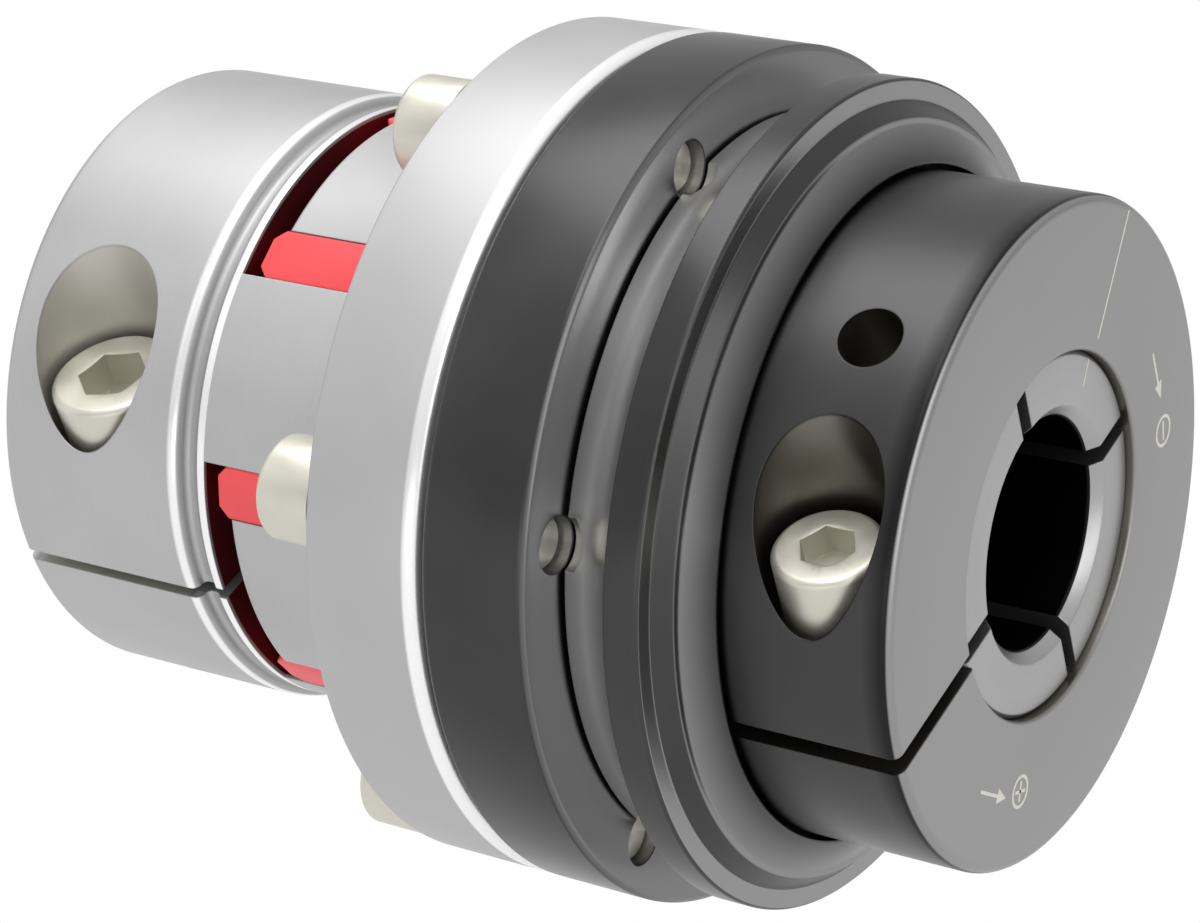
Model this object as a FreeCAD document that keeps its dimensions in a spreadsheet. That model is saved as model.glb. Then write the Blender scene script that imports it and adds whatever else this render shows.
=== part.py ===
"""Torque limiter with an elastomer jaw coupling, in millimetres and degrees.

The axis of rotation is X, and +Z is up. X = 0 is the plane in which the claw flange is
bolted to the flange ring. The adjusting nut is at the +X end, the clamp hub at the -X end.
"""
import FreeCAD, Part
import math
import os
import re
import Sketcher

Vector = FreeCAD.Vector
Rotation = FreeCAD.Rotation
Placement = FreeCAD.Placement

# Driving sizes. Diameters, lengths and clearances are in millimetres, angles in degrees.
SIZES = {
    # Hub sleeve
    "shaft_diameter": 28,
    "shaft_chamfer": 1.5,
    "thread_diameter": 44,
    "thread_chamfer": 0.6,
    "guide_length": 6,
    "collar_height": 2,
    "cage_margin": 7.5,
    "cage_thickness": 4.3,
    "sleeve_margin": 1.8,
    "sleeve_slot_width": 2.4,
    "sleeve_slot_length": 20,
    # Detent balls and their pockets
    "ball_diameter": 8,
    "ball_offset": 4.5,
    "ball_count": 8,
    "ball_play": 0.08,
    "ball_seat_depth": 2.67,
    "pocket_half_angle": 45,
    "pocket_play": 0.12,
    "first_ball_angle": 22.5,
    "running_gap": 0.2,
    # Bearing between the hub sleeve and the flange ring
    "bearing_bore": 55,
    "bearing_section": 8.5,
    "bearing_width": 9,
    "bearing_wall": 2.7,
    "bearing_ball": 5,
    "bearing_ball_count": 14,
    "groove_play": 0.08,
    "bearing_cage_width": 6.4,
    "bearing_cage_wall": 1.2,
    "bearing_edge": 0.4,
    "clip_thickness": 1.5,
    "clip_depth": 1,
    "clip_height": 2.4,
    "clip_opening": 9,
    # Flange ring
    "flange_diameter": 106,
    "flange_ring_width": 14,
    "bearing_seat_depth": 3.3,
    "web_thickness": 4.5,
    "web_clearance": 0.7,
    "cage_clearance": 0.5,
    "flange_edge": 0.6,
    "tap_diameter": 6.8,
    # Switching ring and the race in it
    "race_thickness": 2.9,
    "race_half_width": 4.5,
    "ring_gap": 0.4,
    "ring_web": 3.5,
    "neck_inset": 1.2,
    "neck_length": 9,
    "neck_round": 6.1,
    "rim_height": 5.3,
    "rim_width": 4.4,
    "rim_edge": 0.3,
    "step_inset": 4.1,
    "step_height": 2,
    "step_round": 1.2,
    "slide_play": 0.05,
    "recess_clearance": 0.7,
    # Spring pack
    "spring_thickness": 2,
    "spring_pack_height": 7.5,
    "spring_outer": 78,
    "spring_inner": 51,
    "spring_play": 0.5,
    "washer_thickness": 2,
    # Adjusting nut
    "nut_diameter": 80.6,
    "nut_length": 24,
    "nut_lead": 1,
    "nut_edge": 1.2,
    "nut_bore_chamfer": 1.4,
    "nut_back_chamfer": 0.5,
    "thread_play": 0.05,
    "slit_angle": 202.5,
    "slit_width": 2.4,
    "nut_pocket_diameter": 15.4,
    "nut_screw_offset": 29.8,
    "nut_screw_from_front": 10.4,
    "nut_screw_seat": 12.3,
    "nut_screw_head": 13,
    "nut_screw_head_height": 8,
    "nut_screw_shank": 8,
    "nut_screw_length": 30,
    "nut_screw_key": 6,
    "wrench_hole_diameter": 7.6,
    "wrench_hole_angle": 131,
    "wrench_hole_from_front": 10.2,
    "wrench_hole_depth": 11,
    # Claw flange
    "claw_flange_thickness": 16,
    "claw_web": 6,
    "claw_shoulder": 3,
    "rim_relief": 0.6,
    "land_inset": 2.5,
    "polished_round": 1.6,
    "claw_flange_edge": 0.3,
    # Bolts and dowel pins of the flange
    "bolt_margin": 6.5,
    "bolt_count": 6,
    "first_bolt_angle": 112.5,
    "bolt_hole": 9,
    "bolt_diameter": 8,
    "bolt_head": 13,
    "bolt_head_height": 8,
    "bolt_length": 25,
    "bolt_key": 6,
    "pin_diameter": 6,
    "pin_count": 3,
    "first_pin_angle": 82.5,
    "pin_depth_claw": 9,
    "pin_depth_ring": 7,
    # Claws of both coupling halves and the spider between them
    "head_clearance": 0.3,
    "jaw_bore_play": 0.5,
    "jaw_count": 4,
    "jaw_length": 23.2,
    "jaw_gap": 3.6,
    "jaw_play": 0.1,
    "jaw_tip_round": 0.8,
    "leg_width": 6.6,
    "leg_inset": 1,
    "leg_length": 19.2,
    "leg_chamfer": 1.4,
    "spider_inner": 20,
    "spider_outer": 33,
    "spider_ring_width": 15,
    # Clamp hub
    "hub_body_length": 30.8,
    "hub_edge": 1.4,
    "groove_depth": 2.3,
    "groove_overrun": 1.3,
    "groove_width": 6.4,
    "groove_rise": 3,
    "groove_corner": 1.5,
    "groove_lip": 0.5,
    "hub_pocket_diameter": 17.4,
    "hub_screw_offset": 27,
    "hub_screw_from_left": 12,
    "hub_screw_seat": 11,
    "hub_screw_head": 16,
    "hub_screw_head_height": 10,
    "hub_screw_shank": 10,
    "hub_screw_length": 35,
    "hub_screw_key": 8,
    "hub_slit_width": 1.6,
    # Sizes that all socket screws share
    "socket_share": 0.5,
    "head_round": 0.9,
    "shank_clearance": 0.5,
    "bottom_gap": 1.5,
    "pocket_overrun": 30,
}

# Diameters and places along the axis that follow from the sizes.
PLACES = {
    "bearing_outer": "bearing_bore + 2 * bearing_section",
    "collar_diameter": "bearing_bore + 2 * collar_height",
    "ball_circle": "collar_diameter + 2 * ball_offset",
    "cage_diameter": "ball_circle + 2 * cage_margin",
    "race_inner": "ball_circle - 2 * race_half_width",
    "race_outer": "ball_circle + 2 * race_half_width",
    "claw_relief_diameter": "bearing_outer - 2 * claw_shoulder",
    "guide_diameter": "spring_inner - 2 * spring_play",
    "washer_outer": "spring_outer",
    "bolt_circle": "flange_diameter - 2 * bolt_margin",
    "land_diameter": "flange_diameter - 2 * land_inset",
    "neck_diameter": "bolt_circle - 2 * neck_inset",
    "rim_diameter": "neck_diameter + 2 * rim_height",
    "step_diameter": "rim_diameter - 2 * step_inset",
    "jaw_outer": "bolt_circle - bolt_head - 2 * head_clearance",
    "leg_outer": "jaw_outer - 2 * leg_inset",
    "jaw_inner": "spider_outer + 2 * jaw_bore_play",
    "web_left": "bearing_seat_depth",
    "pocket_face": "web_left + web_thickness",
    "cage_left": "pocket_face + running_gap",
    "cage_right": "cage_left + cage_thickness",
    "ball_centre": "pocket_face + ball_diameter / 2 - ball_seat_depth",
    "race_left": "ball_centre + ball_diameter / 2",
    "race_right": "race_left + race_thickness",
    "nose_left": "race_left + running_gap",
    "ring_left": "flange_ring_width + ring_gap",
    "ring_floor": "race_right + ring_web",
    "guide_end": "ring_floor + guide_length",
    "spring_middle": "ring_floor + spring_pack_height / 2",
    "washer_left": "ring_floor + spring_pack_height",
    "nut_back": "washer_left + washer_thickness",
    "nut_front": "nut_back + nut_length",
    "sleeve_right": "nut_front - nut_lead",
    "rim_left": "flange_ring_width + neck_length",
    "rim_right": "rim_left + rim_width",
    "ring_face": "rim_right + step_height",
    "bearing_left": "web_left - bearing_width",
    "bearing_middle": "web_left - bearing_width / 2",
    "clip_left": "bearing_left - clip_thickness",
    "sleeve_left": "clip_left - sleeve_margin",
    "flange_left": "-claw_flange_thickness",
    "flange_web_right": "flange_left + claw_web",
    "flange_tip": "flange_left - jaw_length",
    "hub_shoulder": "flange_tip - jaw_gap",
    "hub_tip": "hub_shoulder + jaw_length",
    "hub_left": "hub_shoulder - hub_body_length",
    "spider_middle": "(flange_tip + hub_tip) / 2",
    "groove_right": "hub_shoulder + groove_overrun",
    "groove_left": "groove_right - groove_width",
    "screw_end": "flange_left + bolt_length",
    "nut_screw_place": "nut_front - nut_screw_from_front",
    "hub_screw_place": "hub_left + hub_screw_from_left",
    "wrench_hole_place": "nut_front - wrench_hole_from_front",
}

document = FreeCAD.newDocument("torque_limiter")


def bind(text):
    """Expression in which each named size or place is read from its sheet."""
    def qualified(match):
        word = match.group()
        if word in SIZES:
            return "Sizes." + word
        if word in PLACES:
            return "Places." + word
        return word
    return re.sub(r"[a-z][a-z_0-9]*", qualified, str(text))


def fill_sheet(name, rows, as_formula):
    """Spreadsheet with a name and a value in each row, each value under an alias."""
    sheet = document.addObject("Spreadsheet::Sheet", name)
    for row, (alias, value) in enumerate(rows.items(), start=1):
        sheet.set(f"A{row}", alias)
        sheet.set(f"B{row}", "=" + bind(value) if as_formula else str(value))
        sheet.setAlias(f"B{row}", alias)
    document.recompute()
    return sheet


sizes = fill_sheet("Sizes", SIZES, as_formula=False)
places = fill_sheet("Places", PLACES, as_formula=True)


def value(text):
    """Number that an expression gives with the sheets as they stand."""
    return float(sizes.evalExpression(bind(text)))


def drive(item, name, text):
    """Ties a property of an object to an expression."""
    item.setExpression(name, bind(text))


def origin_feature(body, role):
    """Plane or axis of a body's own origin, by its role."""
    for feature in body.Origin.OriginFeatures:
        if feature.Role == role:
            return feature
    raise ValueError(role)


def new_body(name):
    body = document.addObject("PartDesign::Body", name)
    body.Label = name
    return body


def new_sketch(body, name, plane, offset="0"):
    """Sketch on one of a body's origin planes, moved along the plane's normal."""
    sketch = body.newObject("Sketcher::SketchObject", name)
    sketch.AttachmentSupport = (origin_feature(body, plane), "")
    sketch.MapMode = "FlatFace"
    drive(sketch, "AttachmentOffset.Base.z", offset)
    return sketch


def arc_geometry(start, end, bend):
    """Arc from start to end. A positive bend turns left, a negative one turns right."""
    radius = abs(bend)
    middle = (start + end) / 2
    chord = end - start
    height = math.sqrt(max(radius ** 2 - (chord.Length / 2) ** 2, 0))
    normal = Vector(-chord.y, chord.x, 0).normalize()
    centre = middle + normal * (height if bend > 0 else -height)
    circle = Part.Circle(centre, Vector(0, 0, 1), radius)
    first, last = (start, end) if bend > 0 else (end, start)
    angles = [math.atan2((point - centre).y, (point - centre).x) for point in (first, last)]
    return Part.ArcOfCircle(circle, angles[0], angles[1])


def draw_outline(sketch, corners):
    """Closed outline through corners (first, second[, bend]), each tied to its expressions.

    A bend makes the edge to the next corner an arc of that radius.
    """
    points = [Vector(value(corner[0]), value(corner[1]), 0) for corner in corners]
    starts = []
    ends = []
    for index, corner in enumerate(corners):
        start = points[index]
        end = points[(index + 1) % len(points)]
        if len(corner) == 3:
            bend = value(corner[2])
            sketch.addGeometry(arc_geometry(start, end, bend), False)
            starts.append(1 if bend > 0 else 2)
            ends.append(2 if bend > 0 else 1)
        else:
            sketch.addGeometry(Part.LineSegment(start, end), False)
            starts.append(1)
            ends.append(2)
    for index in range(len(corners)):
        following = (index + 1) % len(corners)
        sketch.addConstraint(
            Sketcher.Constraint("Coincident", index, ends[index], following, starts[following]))
    for index, corner in enumerate(corners):
        for kind, text, number in (("DistanceX", corner[0], points[index].x),
                                   ("DistanceY", corner[1], points[index].y)):
            made = sketch.addConstraint(
                Sketcher.Constraint(kind, -1, 1, index, starts[index], number))
            drive(sketch, f"Constraints[{made}]", text)
        if len(corner) == 3:
            made = sketch.addConstraint(
                Sketcher.Constraint("Radius", index, abs(value(corner[2]))))
            drive(sketch, f"Constraints[{made}]", f"abs({corner[2]})")


def turned(name, corners):
    """Body turned about X from an outline of (place, radius) corners."""
    body = new_body(name)
    sketch = new_sketch(body, name + "_profile", "XY_Plane")
    draw_outline(sketch, corners)
    feature = body.newObject("PartDesign::Revolution", name + "_turned")
    feature.Profile = sketch
    feature.ReferenceAxis = (sketch, ["H_Axis"])
    feature.Angle = 360
    document.recompute()
    return body


def around_axis(body, feature, count):
    """Repeats a feature of a body around X."""
    pattern = body.newObject("PartDesign::PolarPattern", feature.Name + "_around")
    pattern.Originals = [feature]
    pattern.Axis = (origin_feature(body, "X_Axis"), [""])
    pattern.Angle = 360
    drive(pattern, "Occurrences", count)
    body.Tip = pattern
    document.recompute()


def pocket_outline(body, name, corners, start, length=None, to_right=False):
    """Pocket with a straight-sided outline, seen along X, from a place on the axis."""
    sketch = new_sketch(body, name + "_outline", "YZ_Plane", start)
    draw_outline(sketch, corners)
    return finish_pocket(body, name, sketch, length, to_right)


def pocket_hole(body, name, circle, angle, diameter, start="0", length=None, to_right=False):
    """Round pocket parallel to X at an angle round the axis."""
    sketch = new_sketch(body, name + "_circle", "YZ_Plane", start)
    across = f"{circle} / 2 * cos({angle})"
    up = f"{circle} / 2 * sin({angle})"
    centre = Vector(value(across), value(up), 0)
    sketch.addGeometry(Part.Circle(centre, Vector(0, 0, 1), value(diameter) / 2), False)
    for kind, text, number in (("DistanceX", across, centre.x), ("DistanceY", up, centre.y)):
        made = sketch.addConstraint(Sketcher.Constraint(kind, -1, 1, 0, 3, number))
        drive(sketch, f"Constraints[{made}]", text)
    made = sketch.addConstraint(Sketcher.Constraint("Diameter", 0, value(diameter)))
    drive(sketch, f"Constraints[{made}]", diameter)
    return finish_pocket(body, name, sketch, length, to_right)


def finish_pocket(body, name, sketch, length, to_right):
    """Pocket from a sketch: through the whole body, or one way for a length."""
    before = body.Shape.Volume
    pocket = body.newObject("PartDesign::Pocket", name)
    pocket.Profile = sketch
    if length is None:
        pocket.Type = "ThroughAll"
        pocket.Midplane = True
    else:
        pocket.Type = "Length"
        drive(pocket, "Length", length)
        pocket.Reversed = to_right
    document.recompute()
    if not body.Shape.Volume < before:
        raise ValueError(name + " cuts nothing")
    return pocket


def radial_slot(angle, width, reach):
    """Corners of a slot from the axis outwards, in the direction of an angle."""
    corners = []
    for along, side in (("0", "-"), (reach, "-"), (reach, "+"), ("0", "+")):
        half = f"({side}{width} / 2)"
        corners.append((f"{along} * cos({angle}) - {half} * sin({angle})",
                        f"{along} * sin({angle}) + {half} * cos({angle})"))
    return corners


def cylinder(name, radius, height):
    item = document.addObject("Part::Cylinder", name)
    drive(item, "Radius", radius)
    drive(item, "Height", height)
    return item


def stand(item, x="0", y="0", z="0", turn_axis=None, turn=None):
    """Places an object by expressions, turned by an angle about one of the axes."""
    if turn_axis is not None:
        item.Placement = Placement(Vector(), Rotation(turn_axis, value(turn)))
        drive(item, "Placement.Rotation.Angle", turn)
    for name, text in (("x", x), ("y", y), ("z", z)):
        drive(item, "Placement.Base." + name, text)
    return item


def gathered(name, items):
    """One compound of several objects."""
    group = document.addObject("Part::Compound", name)
    group.Links = items
    return group


def turned_copies(name, item, count, first="0"):
    """Copies of an object, spread evenly around X, in one compound."""
    copies = []
    for index in range(int(value(count))):
        copy = gathered(f"{name}_{index + 1}", [item])
        stand(copy, turn_axis=Vector(1, 0, 0), turn=f"{first} + {index} * 360 / {count}")
        copies.append(copy)
    return gathered(name, copies)


def without(name, base, tool):
    """A solid with a tool cut away from it."""
    cut = document.addObject("Part::Cut", name)
    cut.Base = base
    cut.Tool = tool
    cut.Label = name
    document.recompute()
    return cut


def joined(name, items):
    """Several tools fused to one."""
    union = document.addObject("Part::MultiFuse", name)
    union.Shapes = items
    return union


def socket_screw(name, head, head_height, shank, length, key):
    """Cap screw with a hexagon socket. Its seat is at X = 0, its head at -X."""
    body = turned(name, [
        (f"-{head_height}", "0"),
        (length, "0"),
        (length, f"{shank} / 2 - head_round / 2"),
        (f"{length} - head_round / 2", f"{shank} / 2"),
        ("0", f"{shank} / 2"),
        ("0", f"{head} / 2"),
        (f"-{head_height} + head_round", f"{head} / 2", "head_round"),
        (f"-{head_height}", f"{head} / 2 - head_round"),
    ])
    sketch = new_sketch(body, name + "_socket", "YZ_Plane", f"-{head_height}")
    corner = f"{key} / 2 / cos(30)"
    draw_outline(sketch, [(f"{corner} * cos({angle})", f"{corner} * sin({angle})")
                          for angle in range(0, 360, 60)])
    finish_pocket(body, name + "_key", sketch, f"{head_height} * socket_share", to_right=True)
    return body


# The clamp features of the nut and of the clamp hub are drawn with the slit pointing to -Z
# and the screw's head to -Y, and then turned about X to the slit's angle.
CLAMP_TURN = "slit_angle + 90"


def clamp_tools(name, prefix, outer, slit):
    """Slit, screw pocket, clearance hole and threaded hole of a clamp, as one tool."""
    x = prefix + "_screw_place"
    offset = f"-{prefix}_screw_offset"
    seat = f"{prefix}_screw_seat"
    shank = f"{prefix}_screw_shank"
    length = f"{prefix}_screw_length"
    pocket = cylinder(name + "_pocket", f"{prefix}_pocket_diameter / 2", outer)
    stand(pocket, x, f"-{seat}", offset, Vector(1, 0, 0), "90")
    clear = cylinder(name + "_clearance", f"{shank} / 2 + shank_clearance / 2", seat)
    stand(clear, x, "0", offset, Vector(1, 0, 0), "90")
    thread = cylinder(name + "_thread", f"{shank} / 2", f"{length} - {seat} + bottom_gap")
    stand(thread, x, "0", offset, Vector(1, 0, 0), "-90")
    gap = document.addObject("Part::Box", name + "_slit")
    drive(gap, "Length", "pocket_overrun * 10")
    drive(gap, "Width", slit)
    drive(gap, "Height", outer)
    stand(gap, f"{x} - pocket_overrun * 5", f"-{slit} / 2", f"-({outer})")
    tool = joined(name + "_tools", [pocket, clear, thread, gap])
    turned_tool = gathered(name + "_cutter", [tool])
    return stand(turned_tool, turn_axis=Vector(1, 0, 0), turn=CLAMP_TURN)


def clamp_screw(name, prefix):
    """Cap screw of a clamp, in its place across the slit."""
    screw = socket_screw(name + "_turned", f"{prefix}_screw_head",
                         f"{prefix}_screw_head_height", f"{prefix}_screw_shank",
                         f"{prefix}_screw_length", f"{prefix}_screw_key")
    stand(screw, f"{prefix}_screw_place", f"-{prefix}_screw_seat", f"-{prefix}_screw_offset",
          Vector(0, 0, 1), "90")
    placed = gathered(name, [screw])
    placed.Label = name
    return stand(placed, turn_axis=Vector(1, 0, 0), turn=CLAMP_TURN)


def jaw_opening(angle):
    """Corners of the wedge between two claws, seen along X. Its sides clear the legs."""
    half = "360 / (4 * jaw_count)"
    apex = f"((leg_width / 2 + jaw_play) / sin({half}))"
    far = "(jaw_outer * 2)"
    return [(f"-{apex} * cos({angle})", f"-{apex} * sin({angle})"),
            (f"{far} * cos({angle} - {half}) - {apex} * cos({angle})",
             f"{far} * sin({angle} - {half}) - {apex} * sin({angle})"),
            (f"{far} * cos({angle} + {half}) - {apex} * cos({angle})",
             f"{far} * sin({angle} + {half}) - {apex} * sin({angle})")]


# Hub sleeve

def hub_sleeve():
    bore = "shaft_diameter / 2"
    seat = "bearing_bore / 2"
    body = turned("hub_sleeve", [
        ("sleeve_left + shaft_chamfer", bore),
        ("sleeve_right - shaft_chamfer", bore),
        ("sleeve_right", bore + " + shaft_chamfer"),
        ("sleeve_right", "thread_diameter / 2 - thread_chamfer"),
        ("sleeve_right - thread_chamfer", "thread_diameter / 2"),
        ("guide_end", "thread_diameter / 2"),
        ("guide_end", "guide_diameter / 2"),
        ("cage_right", "guide_diameter / 2"),
        ("cage_right", "cage_diameter / 2"),
        ("cage_left", "cage_diameter / 2"),
        ("cage_left", "collar_diameter / 2"),
        ("web_left", "collar_diameter / 2"),
        ("web_left", seat),
        ("bearing_left", seat),
        ("bearing_left", seat + " - clip_depth"),
        ("clip_left", seat + " - clip_depth"),
        ("clip_left", seat),
        ("sleeve_left", seat),
        ("sleeve_left", bore + " + shaft_chamfer"),
    ])
    hole = pocket_hole(body, "cage_hole", "ball_circle", "first_ball_angle",
                       "ball_diameter + 2 * ball_play")
    around_axis(body, hole, "ball_count")
    slot = pocket_outline(body, "sleeve_slot",
                          radial_slot("slit_angle", "sleeve_slot_width", "thread_diameter"),
                          "sleeve_right", "sleeve_slot_length")
    around_axis(body, slot, "4")
    return body


# Bearing and retaining ring

def ring_groove(base, centre, radius):
    """Half of the width that a ball groove opens in a ring's face."""
    return f"sqrt(({radius})^2 - ({centre} - ({base}))^2)"


def bearing_inner_ring():
    pitch = "(bearing_bore + bearing_outer) / 4"
    face = "bearing_bore / 2 + bearing_wall"
    radius = "bearing_ball / 2 + groove_play"
    half = ring_groove(face, pitch, radius)
    return turned("bearing_inner_ring", [
        ("bearing_left", "bearing_bore / 2 + bearing_edge"),
        ("bearing_left + bearing_edge", "bearing_bore / 2"),
        ("web_left - bearing_edge", "bearing_bore / 2"),
        ("web_left", "bearing_bore / 2 + bearing_edge"),
        ("web_left", face),
        (f"bearing_middle + {half}", face, f"-({radius})"),
        (f"bearing_middle - {half}", face),
        ("bearing_left", face),
    ])


def bearing_outer_ring():
    pitch = "(bearing_bore + bearing_outer) / 4"
    face = "bearing_outer / 2 - bearing_wall"
    radius = "bearing_ball / 2 + groove_play"
    half = ring_groove(face, pitch, radius)
    return turned("bearing_outer_ring", [
        ("bearing_left", face),
        (f"bearing_middle - {half}", face, f"-({radius})"),
        (f"bearing_middle + {half}", face),
        ("web_left", face),
        ("web_left", "bearing_outer / 2 - bearing_edge"),
        ("web_left - bearing_edge", "bearing_outer / 2"),
        ("bearing_left + bearing_edge", "bearing_outer / 2"),
        ("bearing_left", "bearing_outer / 2 - bearing_edge"),
    ])


def balls(name, diameter, place, circle, count, first):
    """Balls on a circle around the axis."""
    ball = document.addObject("Part::Sphere", name + "_ball")
    drive(ball, "Radius", f"{diameter} / 2")
    stand(ball, place, f"{circle} / 2")
    group = turned_copies(name, ball, count, first)
    group.Label = name
    return group


def bearing_cage():
    pitch = "(bearing_bore + bearing_outer) / 4"
    strip = turned("bearing_cage_strip", [
        ("bearing_middle - bearing_cage_width / 2", f"{pitch} - bearing_cage_wall / 2"),
        ("bearing_middle + bearing_cage_width / 2", f"{pitch} - bearing_cage_wall / 2"),
        ("bearing_middle + bearing_cage_width / 2", f"{pitch} + bearing_cage_wall / 2"),
        ("bearing_middle - bearing_cage_width / 2", f"{pitch} + bearing_cage_wall / 2"),
    ])
    window = cylinder("cage_window", "bearing_ball / 2 + ball_play", "bearing_outer")
    stand(window, "bearing_middle", turn_axis=Vector(1, 0, 0), turn="-90")
    windows = turned_copies("cage_windows", window, "bearing_ball_count")
    return without("bearing_cage", strip, windows)


def retaining_ring():
    seat = "bearing_bore / 2"
    ring = turned("retaining_ring_blank", [
        ("clip_left", seat + " - clip_depth"),
        ("bearing_left", seat + " - clip_depth"),
        ("bearing_left", seat + " + clip_height"),
        ("clip_left", seat + " + clip_height"),
    ])
    gap = document.addObject("Part::Box", "retaining_ring_gap")
    drive(gap, "Length", "clip_thickness * 3")
    drive(gap, "Width", "clip_opening")
    drive(gap, "Height", "bearing_outer")
    stand(gap, "clip_left - clip_thickness", "-clip_opening / 2")
    return without("retaining_ring", ring, gap)


# Flange ring with the ball pockets

def flange_ring():
    outer = "flange_diameter / 2"
    body = turned("flange_ring_body", [
        ("web_left", "collar_diameter / 2 + web_clearance"),
        ("pocket_face", "collar_diameter / 2 + web_clearance"),
        ("pocket_face", "cage_diameter / 2 + cage_clearance"),
        ("flange_ring_width", "cage_diameter / 2 + cage_clearance"),
        ("flange_ring_width", outer + " - flange_edge"),
        ("flange_ring_width - flange_edge", outer),
        ("flange_edge", outer),
        ("0", outer + " - flange_edge"),
        ("0", "bearing_outer / 2"),
        ("web_left", "bearing_outer / 2"),
    ])
    tap = pocket_hole(body, "tap_hole", "bolt_circle", "first_bolt_angle", "tap_diameter")
    around_axis(body, tap, "bolt_count")
    thread = pocket_hole(body, "thread_hole", "bolt_circle", "first_bolt_angle",
                         "bolt_diameter", "0", "screw_end", to_right=True)
    around_axis(body, thread, "bolt_count")
    pin = pocket_hole(body, "pin_hole", "bolt_circle", "first_pin_angle",
                      "pin_diameter", "0", "pin_depth_ring", to_right=True)
    around_axis(body, pin, "pin_count")
    pocket = document.addObject("Part::Cone", "ball_pocket")
    bottom = "(ball_centre - ball_diameter / 2 - 2 * pocket_play)"
    apex = "(ball_centre - (ball_diameter / 2 + pocket_play) / sin(pocket_half_angle))"
    drive(pocket, "Radius1", f"({bottom} - {apex}) * tan(pocket_half_angle)")
    drive(pocket, "Radius2", f"(cage_left - {apex}) * tan(pocket_half_angle)")
    drive(pocket, "Height", f"cage_left - {bottom}")
    stand(pocket, bottom, "ball_circle / 2", turn_axis=Vector(0, 1, 0), turn="90")
    pockets = turned_copies("ball_pockets", pocket, "ball_count", "first_ball_angle")
    return without("flange_ring", body, pockets)


# Switching ring, its hardened race and the spring pack

def switching_ring():
    neck = "neck_diameter / 2"
    rim = "rim_diameter / 2"
    step = "step_diameter / 2"
    bore = "guide_diameter / 2 + slide_play"
    run = f"sqrt(neck_round^2 - (neck_round - ({rim} - {neck}))^2)"
    return turned("switching_ring", [
        ("nose_left", bore),
        ("ring_floor", bore),
        ("ring_floor", "nut_diameter / 2 + recess_clearance"),
        ("ring_face", "nut_diameter / 2 + recess_clearance"),
        ("ring_face", step),
        ("rim_right + step_round", step, "-step_round"),
        ("rim_right", step + " + step_round"),
        ("rim_right", rim + " - rim_edge"),
        ("rim_right - rim_edge", rim),
        ("rim_left", rim, "-neck_round"),
        (f"rim_left - {run}", neck),
        ("ring_left", neck),
        ("ring_left", "race_outer / 2"),
        ("race_right", "race_outer / 2"),
        ("race_right", "race_inner / 2"),
        ("nose_left", "race_inner / 2"),
    ])


def thrust_race():
    return turned("thrust_race", [
        ("race_left", "race_inner / 2"),
        ("race_right", "race_inner / 2"),
        ("race_right", "race_outer / 2"),
        ("race_left", "race_outer / 2"),
    ])


def disc_spring(name, rim_left, middle_left):
    """Conical spring washer, from the left faces of its rim and of its middle."""
    return turned(name, [
        (middle_left, "spring_inner / 2"),
        (f"{middle_left} + spring_thickness", "spring_inner / 2"),
        (f"{rim_left} + spring_thickness", "spring_outer / 2"),
        (rim_left, "spring_outer / 2"),
    ])


def thrust_washer():
    bore = "thread_diameter / 2 + thread_play"
    return turned("thrust_washer", [
        ("washer_left", bore),
        ("nut_back", bore),
        ("nut_back", "washer_outer / 2"),
        ("washer_left", "washer_outer / 2"),
    ])


# Adjusting nut

def adjusting_nut():
    bore = "thread_diameter / 2 + thread_play"
    outer = "nut_diameter / 2"
    body = turned("adjusting_nut_blank", [
        ("nut_back", bore),
        ("nut_front - nut_bore_chamfer", bore),
        ("nut_front", bore + " + nut_bore_chamfer"),
        ("nut_front", outer + " - nut_edge", "nut_edge"),
        ("nut_front - nut_edge", outer),
        ("nut_back + nut_back_chamfer", outer),
        ("nut_back", outer + " - nut_back_chamfer"),
    ])
    tools = clamp_tools("nut_clamp", "nut", "nut_diameter", "slit_width")
    hole = cylinder("wrench_hole_bit", "wrench_hole_diameter / 2", "wrench_hole_depth * 2")
    stand(hole, "wrench_hole_place", "0", "nut_diameter / 2 - wrench_hole_depth")
    turned_hole = stand(gathered("wrench_hole", [hole]),
                        turn_axis=Vector(1, 0, 0), turn="wrench_hole_angle - 90")
    slit_cut = without("adjusting_nut_clamp", body, tools)
    return without("adjusting_nut", slit_cut, turned_hole)


# Claw flange with its screws and pins

def claw_flange():
    outer = "flange_diameter / 2"
    jaw = "jaw_outer / 2"
    bore = "jaw_inner / 2"
    body = turned("claw_flange", [
        ("flange_tip", bore),
        ("flange_web_right", bore),
        ("flange_web_right", "claw_relief_diameter / 2"),
        ("bearing_left", "claw_relief_diameter / 2"),
        ("bearing_left", "bearing_outer / 2"),
        ("0", "bearing_outer / 2"),
        ("0", "land_diameter / 2"),
        ("-rim_relief", "land_diameter / 2"),
        ("-rim_relief", outer + " - polished_round", "polished_round"),
        ("-rim_relief - polished_round", outer),
        ("flange_left + claw_flange_edge", outer),
        ("flange_left", outer + " - claw_flange_edge"),
        ("flange_left", jaw),
        ("flange_tip + jaw_tip_round", jaw, "jaw_tip_round"),
        ("flange_tip", jaw + " - jaw_tip_round"),
    ])
    opening = pocket_outline(body, "claw_opening", jaw_opening("slit_angle + 180 / jaw_count"),
                             "flange_left", "jaw_length * 2")
    around_axis(body, opening, "jaw_count")
    hole = pocket_hole(body, "bolt_hole_cut", "bolt_circle", "first_bolt_angle", "bolt_hole")
    around_axis(body, hole, "bolt_count")
    pin = pocket_hole(body, "claw_pin_hole", "bolt_circle", "first_pin_angle",
                      "pin_diameter", "0", "pin_depth_claw")
    around_axis(body, pin, "pin_count")
    return body


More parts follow.
